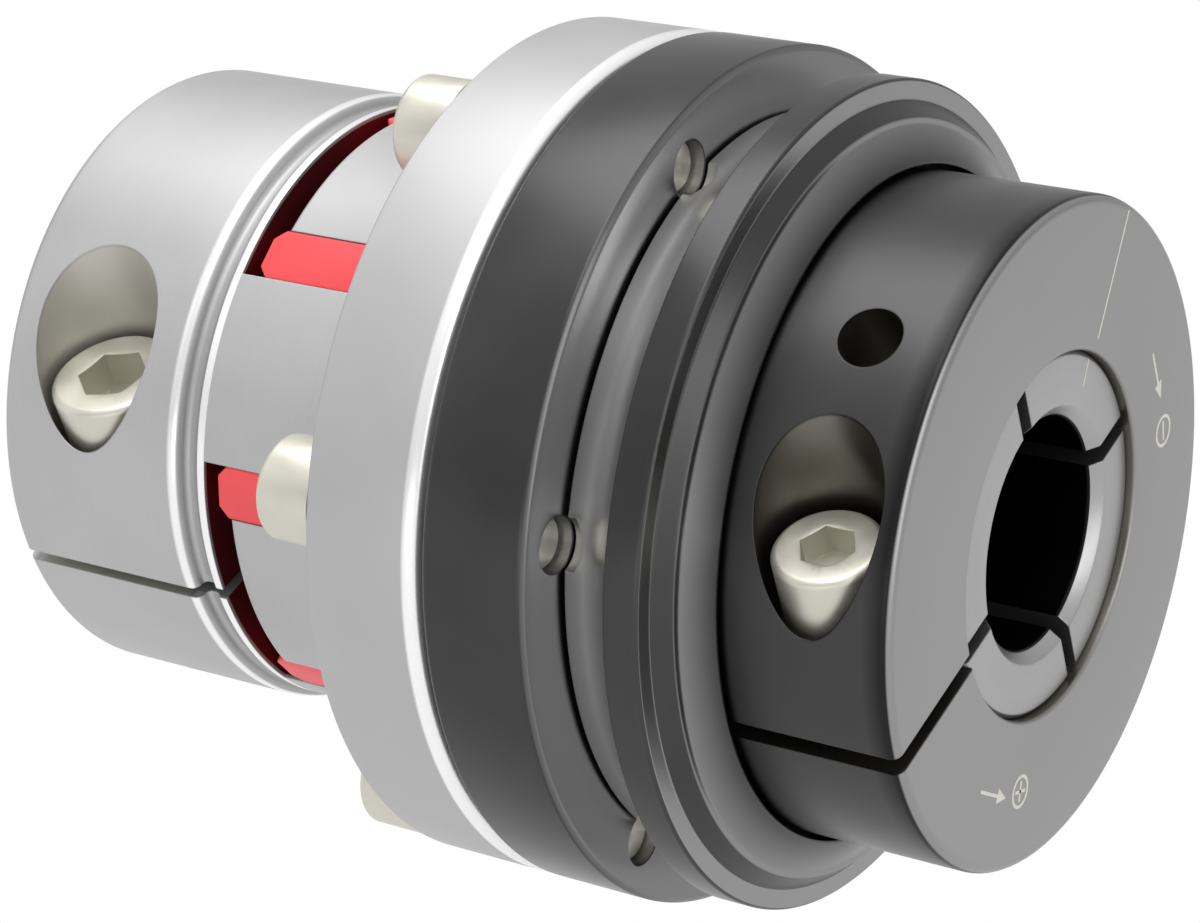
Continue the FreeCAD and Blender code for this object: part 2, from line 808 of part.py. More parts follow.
def flange_screws():
    screw = socket_screw("flange_screw", "bolt_head", "bolt_head_height", "bolt_diameter",
                         "bolt_length", "bolt_key")
    stand(screw, "flange_left", "bolt_circle / 2")
    group = turned_copies("flange_screws", screw, "bolt_count", "first_bolt_angle")
    group.Label = "flange_screws"
    return group


def dowel_pins():
    pin = cylinder("dowel_pin", "pin_diameter / 2", "pin_depth_claw + pin_depth_ring")
    stand(pin, "-pin_depth_claw", "bolt_circle / 2", turn_axis=Vector(0, 1, 0), turn="90")
    group = turned_copies("dowel_pins", pin, "pin_count", "first_pin_angle")
    group.Label = "dowel_pins"
    return group


# Spider

def spider():
    body = turned("spider", [
        ("spider_middle - spider_ring_width / 2", "spider_inner / 2"),
        ("spider_middle + spider_ring_width / 2", "spider_inner / 2"),
        ("spider_middle + spider_ring_width / 2", "spider_outer / 2"),
        ("spider_middle - spider_ring_width / 2", "spider_outer / 2"),
    ])
    left = "spider_middle - leg_length / 2"
    right = "spider_middle + leg_length / 2"
    side = "leg_width / 2"
    sketch = new_sketch(body, "leg_outline", "XY_Plane", "(spider_inner + spider_outer) / 4")
    draw_outline(sketch, [
        (left + " + leg_chamfer", f"-{side}"),
        (right + " - leg_chamfer", f"-{side}"),
        (right, f"-{side} + leg_chamfer"),
        (right, f"{side} - leg_chamfer"),
        (right + " - leg_chamfer", side),
        (left + " + leg_chamfer", side),
        (left, f"{side} - leg_chamfer"),
        (left, f"-{side} + leg_chamfer"),
    ])
    leg = body.newObject("PartDesign::Pad", "leg")
    leg.Profile = sketch
    drive(leg, "Length", "leg_outer / 2 - (spider_inner + spider_outer) / 4")
    document.recompute()
    around_axis(body, leg, "2 * jaw_count")
    return body


# Clamp hub

def clamp_hub():
    bore = "shaft_diameter / 2"
    jaw = "jaw_outer / 2"
    floor = "(jaw_outer / 2 - groove_depth)"
    rise = "sqrt(groove_rise^2 - (groove_rise - groove_depth)^2)"
    body = turned("clamp_hub_blank", [
        ("hub_left + shaft_chamfer", bore),
        ("hub_shoulder", bore),
        ("hub_shoulder", "jaw_inner / 2"),
        ("hub_tip", "jaw_inner / 2"),
        ("hub_tip", jaw + " - jaw_tip_round", "jaw_tip_round"),
        ("hub_tip - jaw_tip_round", jaw),
        ("groove_right", jaw, "-groove_rise"),
        (f"groove_right - {rise}", floor),
        ("groove_left + groove_corner", floor, "-groove_corner"),
        ("groove_left", f"{floor} + groove_corner"),
        ("groove_left", f"{jaw} - groove_lip", "groove_lip"),
        ("groove_left - groove_lip", jaw),
        ("hub_left + hub_edge", jaw, "hub_edge"),
        ("hub_left", jaw + " - hub_edge"),
        ("hub_left", bore + " + shaft_chamfer"),
    ])
    opening = pocket_outline(body, "hub_opening", jaw_opening("slit_angle"),
                             "hub_shoulder", "jaw_length * 2", to_right=True)
    around_axis(body, opening, "jaw_count")
    tools = clamp_tools("hub_clamp", "hub", "jaw_outer", "hub_slit_width")
    return without("clamp_hub", body, tools)


def build_parts():
    """All sub-parts, under their node names."""
    return {
        "hub_sleeve": hub_sleeve(),
        "bearing_inner_ring": bearing_inner_ring(),
        "bearing_outer_ring": bearing_outer_ring(),
        "bearing_balls": balls("bearing_balls", "bearing_ball", "bearing_middle",
                               "(bearing_bore + bearing_outer) / 2",
                               "bearing_ball_count", "0"),
        "bearing_cage": bearing_cage(),
        "retaining_ring": retaining_ring(),
        "detent_balls": balls("detent_balls", "ball_diameter", "ball_centre",
                              "ball_circle", "ball_count", "first_ball_angle"),
        "flange_ring": flange_ring(),
        "switching_ring": switching_ring(),
        "thrust_race": thrust_race(),
        "disc_spring_left": disc_spring("disc_spring_left", "ring_floor",
                                        "spring_middle - spring_thickness"),
        "disc_spring_right": disc_spring("disc_spring_right",
                                         "washer_left - spring_thickness", "spring_middle"),
        "thrust_washer": thrust_washer(),
        "adjusting_nut": adjusting_nut(),
        "nut_clamp_screw": clamp_screw("nut_clamp_screw", "nut"),
        "claw_flange": claw_flange(),
        "flange_screws": flange_screws(),
        "dowel_pins": dowel_pins(),
        "spider": spider(),
        "clamp_hub": clamp_hub(),
        "hub_clamp_screw": clamp_screw("hub_clamp_screw", "hub"),
    }


def check_document():
    """Stops if any object of the document failed to recompute."""
    document.recompute()
    for item in document.Objects:
        if "Invalid" in item.State or "Error" in item.State:
            raise RuntimeError(f"{item.Name} failed: {item.State}")


def write_parts(parts):
    """Checks each sub-part's shape and writes it to its own file."""
    for name, item in parts.items():
        if item.Shape.isNull() or not item.Shape.isValid():
            raise RuntimeError(name + " has no valid shape")
    os.makedirs("parts", exist_ok=True)
    for name, item in parts.items():
        item.Shape.exportStep(f"parts/{name}.step")
        solids = len(item.Shape.Solids)
        print(f"{name}: {solids} solid(s), {item.Shape.Volume:.1f} mm3")


all_parts = build_parts()
check_document()
write_parts(all_parts)
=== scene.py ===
# %% [markdown]
# # Dressing a torque limiter
# The torque limiter was built in a CAD program, and its pieces arrive here as a frame that
# stays where it is. This lesson gives each visible piece a finer surface: the turned pieces
# are spun from their outlines, what is milled away is cut with booleans, and every finish is
# made from nodes. All lengths are written in millimetres and turned into metres by MM. The
# shaft lies along X, with the adjusting nut on its right end.

# %% Load the frame
import math
import bmesh
import bpy
from mathutils import Matrix, Vector


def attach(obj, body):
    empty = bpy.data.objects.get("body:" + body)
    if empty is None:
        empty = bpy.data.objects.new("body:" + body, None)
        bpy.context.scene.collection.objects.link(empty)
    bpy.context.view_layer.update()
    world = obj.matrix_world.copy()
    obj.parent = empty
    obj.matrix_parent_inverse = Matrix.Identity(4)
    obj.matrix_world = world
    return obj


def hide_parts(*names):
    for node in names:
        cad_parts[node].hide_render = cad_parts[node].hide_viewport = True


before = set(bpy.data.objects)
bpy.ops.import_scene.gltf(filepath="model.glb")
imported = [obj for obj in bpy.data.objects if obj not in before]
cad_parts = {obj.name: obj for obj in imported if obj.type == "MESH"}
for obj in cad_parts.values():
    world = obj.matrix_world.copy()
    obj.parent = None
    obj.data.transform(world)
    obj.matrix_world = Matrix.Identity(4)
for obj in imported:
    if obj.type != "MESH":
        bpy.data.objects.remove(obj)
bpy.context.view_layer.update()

MM = 0.001
print("CAD nodes:", len(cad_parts))

# %% [markdown]
# ## Outlines
# A turned piece is known by half of its section. Each outline is a list of corners
# (place along the shaft, radius), and a third number makes the edge to the next corner an arc,
# as on a drawing. Real edges are never knife-sharp, so a small round is put on each corner
# that has room for one: that is what catches the light.

# %% Arcs and softened corners
ARC_STEPS = 12
ROUND_STEPS = 3


def arc_between(start, end, bend):
    """Points after start up to end, on an arc that turns left if bend is above 0."""
    radius = abs(bend)
    middle = (start + end) / 2
    chord = end - start
    height = math.sqrt(max(radius ** 2 - (chord.length / 2) ** 2, 0))
    side = Vector((-chord.y, chord.x)).normalized() * (height if bend > 0 else -height)
    centre = middle + side
    first = start - centre
    turn = first.angle_signed(end - centre)
    points = []
    for step in range(1, ARC_STEPS + 1):
        angle = -turn * step / ARC_STEPS
        spun = Vector((first.x * math.cos(angle) - first.y * math.sin(angle),
                       first.x * math.sin(angle) + first.y * math.cos(angle)))
        points.append(centre + spun)
    return points


def softened(corners, round_to=0.25):
    """Outline points with each plain corner rounded a little."""
    count = len(corners)
    spots = [Vector(corner[:2]) for corner in corners]
    points = []
    for index, corner in enumerate(corners):
        before = corners[index - 1]
        here = spots[index]
        if len(before) == 3 or len(corner) == 3:
            points.append(here)
        else:
            back = spots[index - 1] - here
            ahead = spots[(index + 1) % count] - here
            reach = min(round_to, back.length * 0.3, ahead.length * 0.3)
            start = here + back.normalized() * reach
            end = here + ahead.normalized() * reach
            for step in range(ROUND_STEPS + 1):
                share = step / ROUND_STEPS
                points.append(start.lerp(here, share).lerp(here.lerp(end, share), share))
        if len(corner) == 3:
            points.extend(arc_between(here, spots[(index + 1) % count], corner[2])[:-1])
    return points


print("softened square:", len(softened([(0, 1), (2, 1), (2, 3), (0, 3)])), "points")

# %% [markdown]
# ## Sums on sockets
# Geometry Nodes and shaders both work on sockets. A small class lets a sum be written as a
# sum: each operator adds its Math node. The same class and helpers serve trees of both kinds.

# %% A socket that can be added and multiplied
class Wire:
    """One output socket of a node tree, with arithmetic."""

    def __init__(self, tree, socket):
        self.tree = tree
        self.socket = socket

    def math(self, operation, *others):
        made = self.tree.nodes.new("ShaderNodeMath")
        made.operation = operation
        for entry, value in zip(made.inputs, (self,) + others):
            feed(self.tree, entry, value)
        return Wire(self.tree, made.outputs[0])

    def __add__(self, other):
        return self.math("ADD", other)

    __radd__ = __add__

    def __mul__(self, other):
        return self.math("MULTIPLY", other)

    __rmul__ = __mul__

    def __sub__(self, other):
        return self.math("SUBTRACT", other)

    def __rsub__(self, other):
        return (self * -1) + other

    def __truediv__(self, other):
        return self.math("DIVIDE", other)


def feed(tree, entry, value):
    """Links a wire to a socket, or sets a plain value on it."""
    if isinstance(value, Wire):
        tree.links.new(value.socket, entry)
    else:
        entry.default_value = value


def open_socket(sockets, name):
    """The enabled socket of that name."""
    return next(one for one in sockets if one.name == name and one.enabled)


def add_node(tree, kind, settings=None, entries=None, output=0):
    """Adds a node: first its settings, then the values or wires of its sockets."""
    made = tree.nodes.new(kind)
    for name, value in (settings or {}).items():
        setattr(made, name, value)
    for name, value in (entries or {}).items():
        entry = made.inputs[name] if isinstance(name, int) else open_socket(made.inputs, name)
        feed(tree, entry, value)
    exit_socket = open_socket(made.outputs, output) if isinstance(output, str) else None
    return Wire(tree, exit_socket or made.outputs[output])


def vector_of(tree, x, y, z):
    return add_node(tree, "ShaderNodeCombineXYZ", entries={"X": x, "Y": y, "Z": z})


def parts_of(tree, vector):
    """The three numbers of a vector."""
    split = tree.nodes.new("ShaderNodeSeparateXYZ")
    tree.links.new(vector.socket, split.inputs[0])
    return [Wire(tree, part) for part in split.outputs]


print("operators of a wire: + - * /")

# %% [markdown]
# ## Finishes
# The claw flange and the clamp hub are turned aluminium, which is bright and shows rings from
# the lathe. The limiter itself is blackened steel. On both, the rings are drawn with a noise
# that is stretched round the shaft: it changes quickly with the place along the shaft and with
# the radius, and slowly with the angle. A Bevel node in the shader rounds the edges that the
# milling cutter left, which would be hard to round in the mesh.

# %% Helpers for materials
MIX_FACTOR, MIX_LOW, MIX_HIGH, MIX_RESULT = 0, 6, 7, 2
CLOUD_LOW, CLOUD_HIGH = 0.3, 0.7
RING_PITCH = 9.0
MILLED_EDGE = 0.25 * MM


def new_material(name):
    material = bpy.data.materials.new(name)
    material.use_nodes = True
    material.node_tree.nodes.clear()
    return material, material.node_tree


def finish_material(tree, shader_values):
    """Adds the Principled shader and the output."""
    shader = add_node(tree, "ShaderNodeBsdfPrincipled", entries=shader_values)
    out = tree.nodes.new("ShaderNodeOutputMaterial")
    tree.links.new(shader.socket, out.inputs["Surface"])


def object_place(tree):
    """Object coordinates, which stay with a piece when it moves."""
    return add_node(tree, "ShaderNodeTexCoord", output="Object")


def shaft_place(tree, place):
    """Place along the shaft and radius, in millimetres."""
    along, across, up = (part * 1000 for part in parts_of(tree, place))
    return along, (across * across + up * up).math("SQRT")


def noise(tree, vector, scale, detail=2.0):
    return add_node(tree, "ShaderNodeTexNoise", entries={
        "Vector": vector, "Scale": scale, "Detail": detail, "Roughness": 0.5})


def lathe_rings(tree, along, radius):
    """Noise that runs round the shaft, as the marks of a turning tool do."""
    return noise(tree, vector_of(tree, along * RING_PITCH, radius * RING_PITCH, 0.0), 1.0, 3.0)


def opaque(color):
    return color if isinstance(color, Wire) else (*color, 1)


def between(tree, factor, low, high):
    """Colour between two colours. A Mix node keeps its colour sockets behind its others."""
    return add_node(tree, "ShaderNodeMix", {"data_type": "RGBA"}, {
        MIX_FACTOR: factor, MIX_LOW: opaque(low), MIX_HIGH: opaque(high)}, output=MIX_RESULT)


def ranged(tree, value, low, high, to_low, to_high):
    return add_node(tree, "ShaderNodeMapRange", entries={
        "Value": value, "From Min": low, "From Max": high, "To Min": to_low, "To Max": to_high})


def clouded(tree, cloud, to_low, to_high):
    """Spreads the middle of a cloud noise over a range."""
    return ranged(tree, cloud, CLOUD_LOW, CLOUD_HIGH, to_low, to_high)


def bumped(tree, height, strength, distance, edge=MILLED_EDGE):
    """Normal with fine relief over an edge round, both in metres."""
    rounded = add_node(tree, "ShaderNodeBevel", {"samples": 4}, {"Radius": edge})
    return add_node(tree, "ShaderNodeBump", entries={
        "Height": height, "Strength": strength, "Distance": distance, "Normal": rounded})


print("ring noise per millimetre:", RING_PITCH)

# %% [markdown]
# ## Masks
# One piece can carry several tones, among them painted light and shade: a polished band with
# a painted highlight, a ground face, a bore painted dark as shade. A mask is a number that is
# 1 where the tone belongs and 0 elsewhere. Each limit of a mask is a pair of places, between
# which it rises or falls, so that its border is a little soft. All of them follow the piece
# itself, so they look the same from every side.

# %% Masks by place and radius
def rising(tree, value, limit, top=1.0):
    return ranged(tree, value, *limit, 0.0, top)


def falling(tree, value, limit, top=1.0):
    return ranged(tree, value, *limit, top, 0.0)


def zone(tree, value, rise, fall):
    """Mask of what lies between two limits."""
    return rising(tree, value, rise) * falling(tree, value, fall)


def either(mask, *others):
    """The highest of some masks."""
    for other in others:
        mask = mask.math("MAXIMUM", other)
    return mask


print("mask helpers: rising, falling, zone, either")

# %% [markdown]
# ## Tones of the aluminium coupling
# Three places of the coupling are polished: the flange's edge band, and the groove's lip and
# shoulder on the hub. They are smoother, and their near-white colour is a painted highlight.
# Between the hub's claws the aluminium is painted dark red: a painted reflection of the red
# spider, darkened as painted shade. The pocket of the hub's screw is painted a little warmer
# and lighter than the turned outside, as a painted reflection of the nickel-plated head.

# %% Coupling tones
# Painted highlight: near-white colour of the polished bands.
POLISHED_AND_PAINTED_HIGHLIGHT = (0.95, 0.95, 0.95)
# Painted reflection of the red spider, darkened as painted shade.
PAINTED_SPIDER_REFLECTION_AND_SHADE = (0.16, 0.012, 0.018)
# Painted reflection of the nickel-plated head in the hub's screw pocket.
POCKET_PAINTED_REFLECTION = (0.60, 0.585, 0.54)
EDGE_BAND = ((-2.6, -2.2), (-0.6, -0.4))
EDGE_BAND_RADIUS = (51.0, 51.3)
GROOVE_LIP = ((-47.3, -46.8), (-46.1, -45.9))
GROOVE_SHOULDER = ((-44.2, -43.8), (-42.3, -42.2))
GROOVE_OUTSIDE = (38.3, 38.4)
JAW_ROOT = ((-42.4, -42.3), (-38.7, -38.6))
JAW_INSIDE = (38.2, 38.3)
POCKET_PLACE = ((-72.0, -71.9), (-47.6, -47.5))
POCKET_RADIUS = ((14.5, 14.6), (39.3, 39.5))


def coupling_tones(tree, along, radius, color, dull):
    """Polished bands with a painted highlight, the red between the claws as painted reflection
    and shade, and the warm screw pocket as a painted reflection of the head.
    """
    edge_band = zone(tree, along, *EDGE_BAND) * rising(tree, radius, EDGE_BAND_RADIUS)
    groove = (either(zone(tree, along, *GROOVE_LIP), zone(tree, along, *GROOVE_SHOULDER))
              * rising(tree, radius, GROOVE_OUTSIDE))
    # Painted highlight: the polished bands are painted near white, and are also smoother.
    polished_highlight_band = either(edge_band, groove)
    color = between(tree, polished_highlight_band, color, POLISHED_AND_PAINTED_HIGHLIGHT)
    # Painted reflection and shade: between the claws the aluminium is painted dark red.
    painted_red_reflection = falling(tree, radius, JAW_INSIDE) * zone(tree, along, *JAW_ROOT)
    color = between(tree, painted_red_reflection, color, PAINTED_SPIDER_REFLECTION_AND_SHADE)
    # Painted reflection: the screw pocket is painted warmer and lighter, like the plated head.
    pocket = zone(tree, radius, *POCKET_RADIUS) * zone(tree, along, *POCKET_PLACE)
    return between(tree, pocket, color, POCKET_PAINTED_REFLECTION), dull - polished_highlight_band * 0.2


print("polished bands: 3")

# %% [markdown]
# ## Tones of the blackened steel
# The flange ring and the switching ring are black outside, but the faces that slide, or that
# a sensor looks at, are ground: the flange ring's face, the neck, the step beside it and the
# rim's outer face. They are lightened further face by face as painted light, where the
# recesses keep the lamps out, and the step darkens towards the nut as painted shade. The
# tapped holes are painted lighter inside as painted light. The sleeve's bore is too deep for
# light to reach, so it is painted nearly black as shade.

# %% Limiter tones
# Ground tone, which also serves as painted light on faces the lamps hardly reach.
GROUND_AND_PAINTED_LIGHT = (0.80, 0.80, 0.80)
# Painted shade of the sleeve's deep bore.
BORE_PAINTED_SHADE = (0.012, 0.01, 0.01)
BORE_LIMIT = (14.2, 14.25)
RING_FACE = (14.1, 14.2)
FACE_TURN = (0.5, 0.9)
FACE_RADIUS = (46.1, 46.3)
# Painted shade: radii over which the step darkens towards the nut.
STEP_SHADE_RADIUS = (41.6, 45.8)
NECK = ((14.3, 14.35), (22.9, 23.0))
RIM_TURN = (0.9, 0.95)
RIM_PLACE = (27.3, 27.35)
RIM_RADIUS = (47.9, 48.0)
HOLE_PLACE = (13.8, 13.9)
HOLE_RADIUS = (51.4, 51.5)


def limiter_tones(tree, along, radius, color, dull):
    """Ground faces with painted light and shade, and painted light inside the tapped holes."""
    normal = add_node(tree, "ShaderNodeTexCoord", output="Normal")
    turned_right = parts_of(tree, normal)[0]
    # Ground faces, the neck and the rim face, lightened as painted light where recesses shade
    # them.
    face = rising(tree, turned_right, FACE_TURN) * either(
        falling(tree, radius, FACE_RADIUS), falling(tree, along, RING_FACE))
    # Painted shade: the step's tone falls to nearly black towards the nut.
    painted_face_shading = (falling(tree, along, RING_FACE, 0.18)
                 + rising(tree, along, RING_FACE) * ranged(tree, radius, *STEP_SHADE_RADIUS, 0.02, 0.26))
    rim_face = (rising(tree, turned_right, RIM_TURN, 0.3) * rising(tree, along, RIM_PLACE)
                * rising(tree, radius, RIM_RADIUS))
    # Painted light: inside the tapped holes the ring is painted half-way to the ground tone.
    holes = falling(tree, along, HOLE_PLACE) * falling(tree, radius, HOLE_RADIUS, 0.5)
    light = either(face * painted_face_shading, zone(tree, along, *NECK) * 0.85, rim_face, holes)
    return between(tree, light, color, GROUND_AND_PAINTED_LIGHT), dull


def bore_painted_shade(tree, along, radius, color, dull):
    """Painted shade: the sleeve's bore is painted nearly black."""
    return between(tree, falling(tree, radius, BORE_LIMIT), color, BORE_PAINTED_SHADE), dull


print("ground face to", RING_FACE[1], "mm, neck from", NECK[0][0], "to", NECK[1][1], "mm")

# %% [markdown]
# ## Turned metals
# All turned pieces share one recipe: rings from the lathe, a faint cloudiness, a fine grain
# and rounded edges. A finish differs from the next by its two colours, its roughness, the
# strength of its rings and the function that adds its tones.

# %% Turned metals
def turned_metal(name, dark, light, rough, lines=0.12, metallic=1.0, tones=None):
    """Metal with rings from the lathe, a faint cloudiness and rounded milled edges."""
    material, tree = new_material(name)
    place = object_place(tree)
    along, radius = shaft_place(tree, place)
    rings = lathe_rings(tree, along, radius)
    cloud = noise(tree, place, 45.0, 3.0)
    grain = noise(tree, place, 5200.0, 1.0)
    color = between(tree, clouded(tree, cloud * 0.75 + rings * 0.25, 0.0, 1.0), dark, light)
    dull = clouded(tree, cloud, rough - 0.04, rough + 0.05)
    if tones:
        color, dull = tones(tree, along, radius, color, dull)
    finish_material(tree, {
        "Base Color": color,
        "Metallic": metallic,
        "Roughness": dull,
        "Normal": bumped(tree, rings * 0.7 + grain * 0.3, lines, 0.00004),
    })
    return material


finishes = {
    "aluminium": turned_metal("turned_aluminium", (0.455, 0.455, 0.46), (0.525, 0.525, 0.53),
                              0.48, metallic=0.8, tones=coupling_tones),
    "dark": turned_metal("blackened_steel", (0.052, 0.052, 0.053), (0.070, 0.070, 0.072), 0.30,
                         tones=limiter_tones),
    "sleeve": turned_metal("sleeve_steel", (0.36, 0.36, 0.36), (0.44, 0.44, 0.44), 0.36,
                           tones=bore_painted_shade),
    "bearing": turned_metal("bearing_steel", (0.45, 0.45, 0.46), (0.6, 0.6, 0.61), 0.22, 0.05),
    "spring": turned_metal("spring_steel", (0.07, 0.07, 0.075), (0.12, 0.12, 0.12), 0.35),
    "brass": turned_metal("cage_brass", (0.5, 0.36, 0.14), (0.66, 0.5, 0.22), 0.3, 0.05),
    "ball": turned_metal("ball_steel", (0.6, 0.6, 0.6), (0.68, 0.68, 0.69), 0.12, 0.0),
}
print("finishes:", ", ".join(finishes))

# %% [markdown]
# ## Nut, screws and spider
# The adjusting nut is blackened on its side, with a darker strip where the side nears the
# face, and its face is ground and lighter. A narrow rounded edge between them is painted
# lighter as a painted highlight, and the walls of the slit and the pocket look warm. The
# screws are nickel plated. The spider is a moulded elastomer: saturated red, slightly glossy,
# with a fine grain from its mould.

# %% Nut, screws, spider and marks
NUT_FRONT = 53.03
NUT_FACE = (NUT_FRONT - 0.3, NUT_FRONT - 0.05)
# Painted highlight on the nut's rounded edge.
NUT_EDGE_HIGHLIGHT = (NUT_FRONT - 0.6, NUT_FRONT - 0.4)
NUT_EDGE_HIGHLIGHT_RADIUS = (38.9, 39.2)
NUT_STRIP = (49.5, 51.8)
NUT_INSIDE = (39.9, 40.1)


def nut_finish():
    material, tree = new_material("nut_steel")
    place = object_place(tree)
    along, radius = shaft_place(tree, place)
    cloud = noise(tree, place, 45.0, 3.0)
    side = between(tree, cloud, (0.052, 0.052, 0.053), (0.074, 0.074, 0.075))
    side = between(tree, rising(tree, along, NUT_STRIP, 0.75), side, (0.012, 0.012, 0.012))
    side = between(tree, falling(tree, radius, NUT_INSIDE), side, (0.20, 0.19, 0.17))
    face = between(tree, cloud, (0.28, 0.28, 0.28), (0.345, 0.345, 0.345))
    color = between(tree, rising(tree, along, NUT_FACE), side, face)
    # Painted highlight: the outer part of the rounded edge is painted light grey.
    edge = rising(tree, along, NUT_EDGE_HIGHLIGHT) * rising(tree, radius, NUT_EDGE_HIGHLIGHT_RADIUS)
    finish_material(tree, {
        "Base Color": between(tree, edge, color, (0.30, 0.30, 0.30)),
        "Metallic": 1.0,
        "Roughness": clouded(tree, cloud, 0.32, 0.38),
        "Normal": bumped(tree, lathe_rings(tree, along, radius), 0.12, 0.00004),
    })
    return material


def screw_finish():
    material, tree = new_material("nickel_screw")
    place = object_place(tree)
    cloud = noise(tree, place, 260.0, 3.0)
    grain = noise(tree, place, 3000.0)
    finish_material(tree, {
        "Base Color": between(tree, cloud, (0.60, 0.58, 0.505), (0.70, 0.68, 0.60)),
        "Metallic": 0.8,
        "Roughness": clouded(tree, cloud, 0.34, 0.46),
        "Normal": bumped(tree, grain, 0.15, 0.00003, 0.2 * MM),
    })
    return material


def spider_finish():
    material, tree = new_material("spider_elastomer")
    place = object_place(tree)
    cloud = noise(tree, place, 120.0, 3.0)
    grain = noise(tree, place, 2400.0, 3.0)
    finish_material(tree, {
        "Base Color": between(tree, cloud, (0.86, 0.06, 0.07), (0.95, 0.085, 0.095)),
        "Roughness": clouded(tree, cloud, 0.38, 0.5),
        "Normal": bumped(tree, grain, 0.12, 0.00004, 0.4 * MM),
    })
    return material


def mark_finish():
    """Pale filling of the engraved lines and signs."""
    material, tree = new_material("mark_filling")
    cloud = noise(tree, object_place(tree), 900.0)
    finish_material(tree, {
        "Base Color": between(tree, cloud, (0.62, 0.60, 0.53), (0.72, 0.70, 0.63)),
        "Roughness": clouded(tree, cloud, 0.45, 0.6),
    })
    return material


finishes["nut"] = nut_finish()
finishes["screw"] = screw_finish()
finishes["spider"] = spider_finish()
finishes["mark"] = mark_finish()
print("finishes in all:", len(finishes))

# %% [markdown]
# ## Spinning an outline
# A lathe is a rule, so the turned pieces are made by Geometry Nodes. The outline is a row of
# points, and a grid takes one column of them for each step round the shaft: every grid point
# looks up its outline point and is turned by its own angle. The last row and the first are
# merged, which closes the ring both ways.

# %% The lathe tree
SAME_SPOT = 0.001 * MM


def group_input(tree, name, kind, value=None):
    made = tree.interface.new_socket(name=name, in_out="INPUT", socket_type=kind)
    if value is not None:
        made.default_value = value
    return made.identifier


def group_output(tree, wire):
    tree.interface.new_socket(name="Geometry", in_out="OUTPUT", socket_type="NodeSocketGeometry")
    out = tree.nodes.new("NodeGroupOutput")
    tree.links.new(wire.socket, out.inputs[0])


def lathe_tree():
    tree = bpy.data.node_groups.new("spin_round_shaft", "GeometryNodeTree")
    sockets = {"Outline": group_input(tree, "Outline", "NodeSocketGeometry"),
               "Steps": group_input(tree, "Steps", "NodeSocketInt", 256),
               "Finish": group_input(tree, "Finish", "NodeSocketMaterial")}
    start = tree.nodes.new("NodeGroupInput")
    outline, steps, finish = (Wire(tree, start.outputs[name]) for name in sockets)
    count = add_node(tree, "GeometryNodeAttributeDomainSize", entries={"Geometry": outline},
                     output="Point Count")
    grid = add_node(tree, "GeometryNodeMeshGrid", entries={
        "Vertices X": steps + 1, "Vertices Y": count + 1}, output="Mesh")
    index = add_node(tree, "GeometryNodeInputIndex")
    turn = (index / (count + 1)).math("FLOOR")
    spot = (index - turn * (count + 1)).math("MODULO", count)
    position = add_node(tree, "GeometryNodeInputPosition")
    looked_up = add_node(tree, "GeometryNodeSampleIndex", {"data_type": "FLOAT_VECTOR"},
                         {"Geometry": outline, "Value": position, "Index": spot})
    along, radius = parts_of(tree, looked_up)[:2]
    angle = turn / steps * (2 * math.pi)
    placed = vector_of(tree, along, radius * angle.math("COSINE"), radius * angle.math("SINE"))
    moved = add_node(tree, "GeometryNodeSetPosition", entries={
        "Geometry": grid, "Position": placed})
    merged = add_node(tree, "GeometryNodeMergeByDistance", entries={
        "Geometry": moved, "Distance": SAME_SPOT})
    real = add_node(tree, "GeometryNodeRealizeInstances", entries={"Geometry": merged})
    group_output(tree, add_node(tree, "GeometryNodeSetMaterial", entries={
        "Geometry": real, "Material": finish}))
    return tree, sockets


LATHE, LATHE_SOCKETS = lathe_tree()
print("lathe inputs:", ", ".join(LATHE_SOCKETS))

# %% Helpers that turn trees into meshes
def new_object(name, mesh):
    made = bpy.data.objects.new(name, mesh)
    bpy.context.scene.collection.objects.link(made)
    return made


def applied(item):
    """Bakes all modifiers of an object into its mesh, and removes them."""
    bpy.context.view_layer.update()
    seen = item.evaluated_get(bpy.context.evaluated_depsgraph_get())
    mesh = bpy.data.meshes.new_from_object(seen)
    item.modifiers.clear()
    item.data = mesh
    return item


def outwards(item):
    """Turns all faces of a closed piece outwards."""
    shape = bmesh.new()
    shape.from_mesh(item.data)
    bmesh.ops.recalc_face_normals(shape, faces=shape.faces)
    if shape.calc_volume(signed=True) < 0:
        bmesh.ops.reverse_faces(shape, faces=shape.faces)
    shape.to_mesh(item.data)
    shape.free()
    return item


def run_tree(item, tree, values):
    """Runs a node tree on an object, with its inputs set by their identifiers."""
    modifier = item.modifiers.new("tree", "NODES")
    modifier.node_group = tree
    for name, value in values.items():
        modifier[name] = value
    return outwards(applied(item))


def one_finish(item, finish):
    """Leaves one finish on a piece, in its first slot."""
    item.data.materials.clear()
    item.data.materials.append(finishes[finish])
    item.data.polygons.foreach_set("material_index", [0] * len(item.data.polygons))
    return item


def spun(name, outline, finish, steps):
    """Turned piece from an outline in millimetres."""
    points = [(spot.x * MM, spot.y * MM, 0) for spot in outline]
    mesh = bpy.data.meshes.new(name)
    mesh.from_pydata(points, [], [])
    piece = new_object(name, mesh)
    run_tree(piece, LATHE, {LATHE_SOCKETS["Steps"]: steps,
                            LATHE_SOCKETS["Finish"]: finishes[finish]})
    return one_finish(piece, finish)


test = spun("test_ring", softened([(0, 5), (2, 5), (2, 8), (0, 8)]), "dark", 24)
print("test ring:", len(test.data.polygons), "faces")
bpy.data.objects.remove(test)

# %% [markdown]
# ## Cutting tools
# What a mill or a drill takes away is a boolean difference. The tools are plain prisms: an
# outline seen along one axis, pushed along it. They are deleted once they have cut.

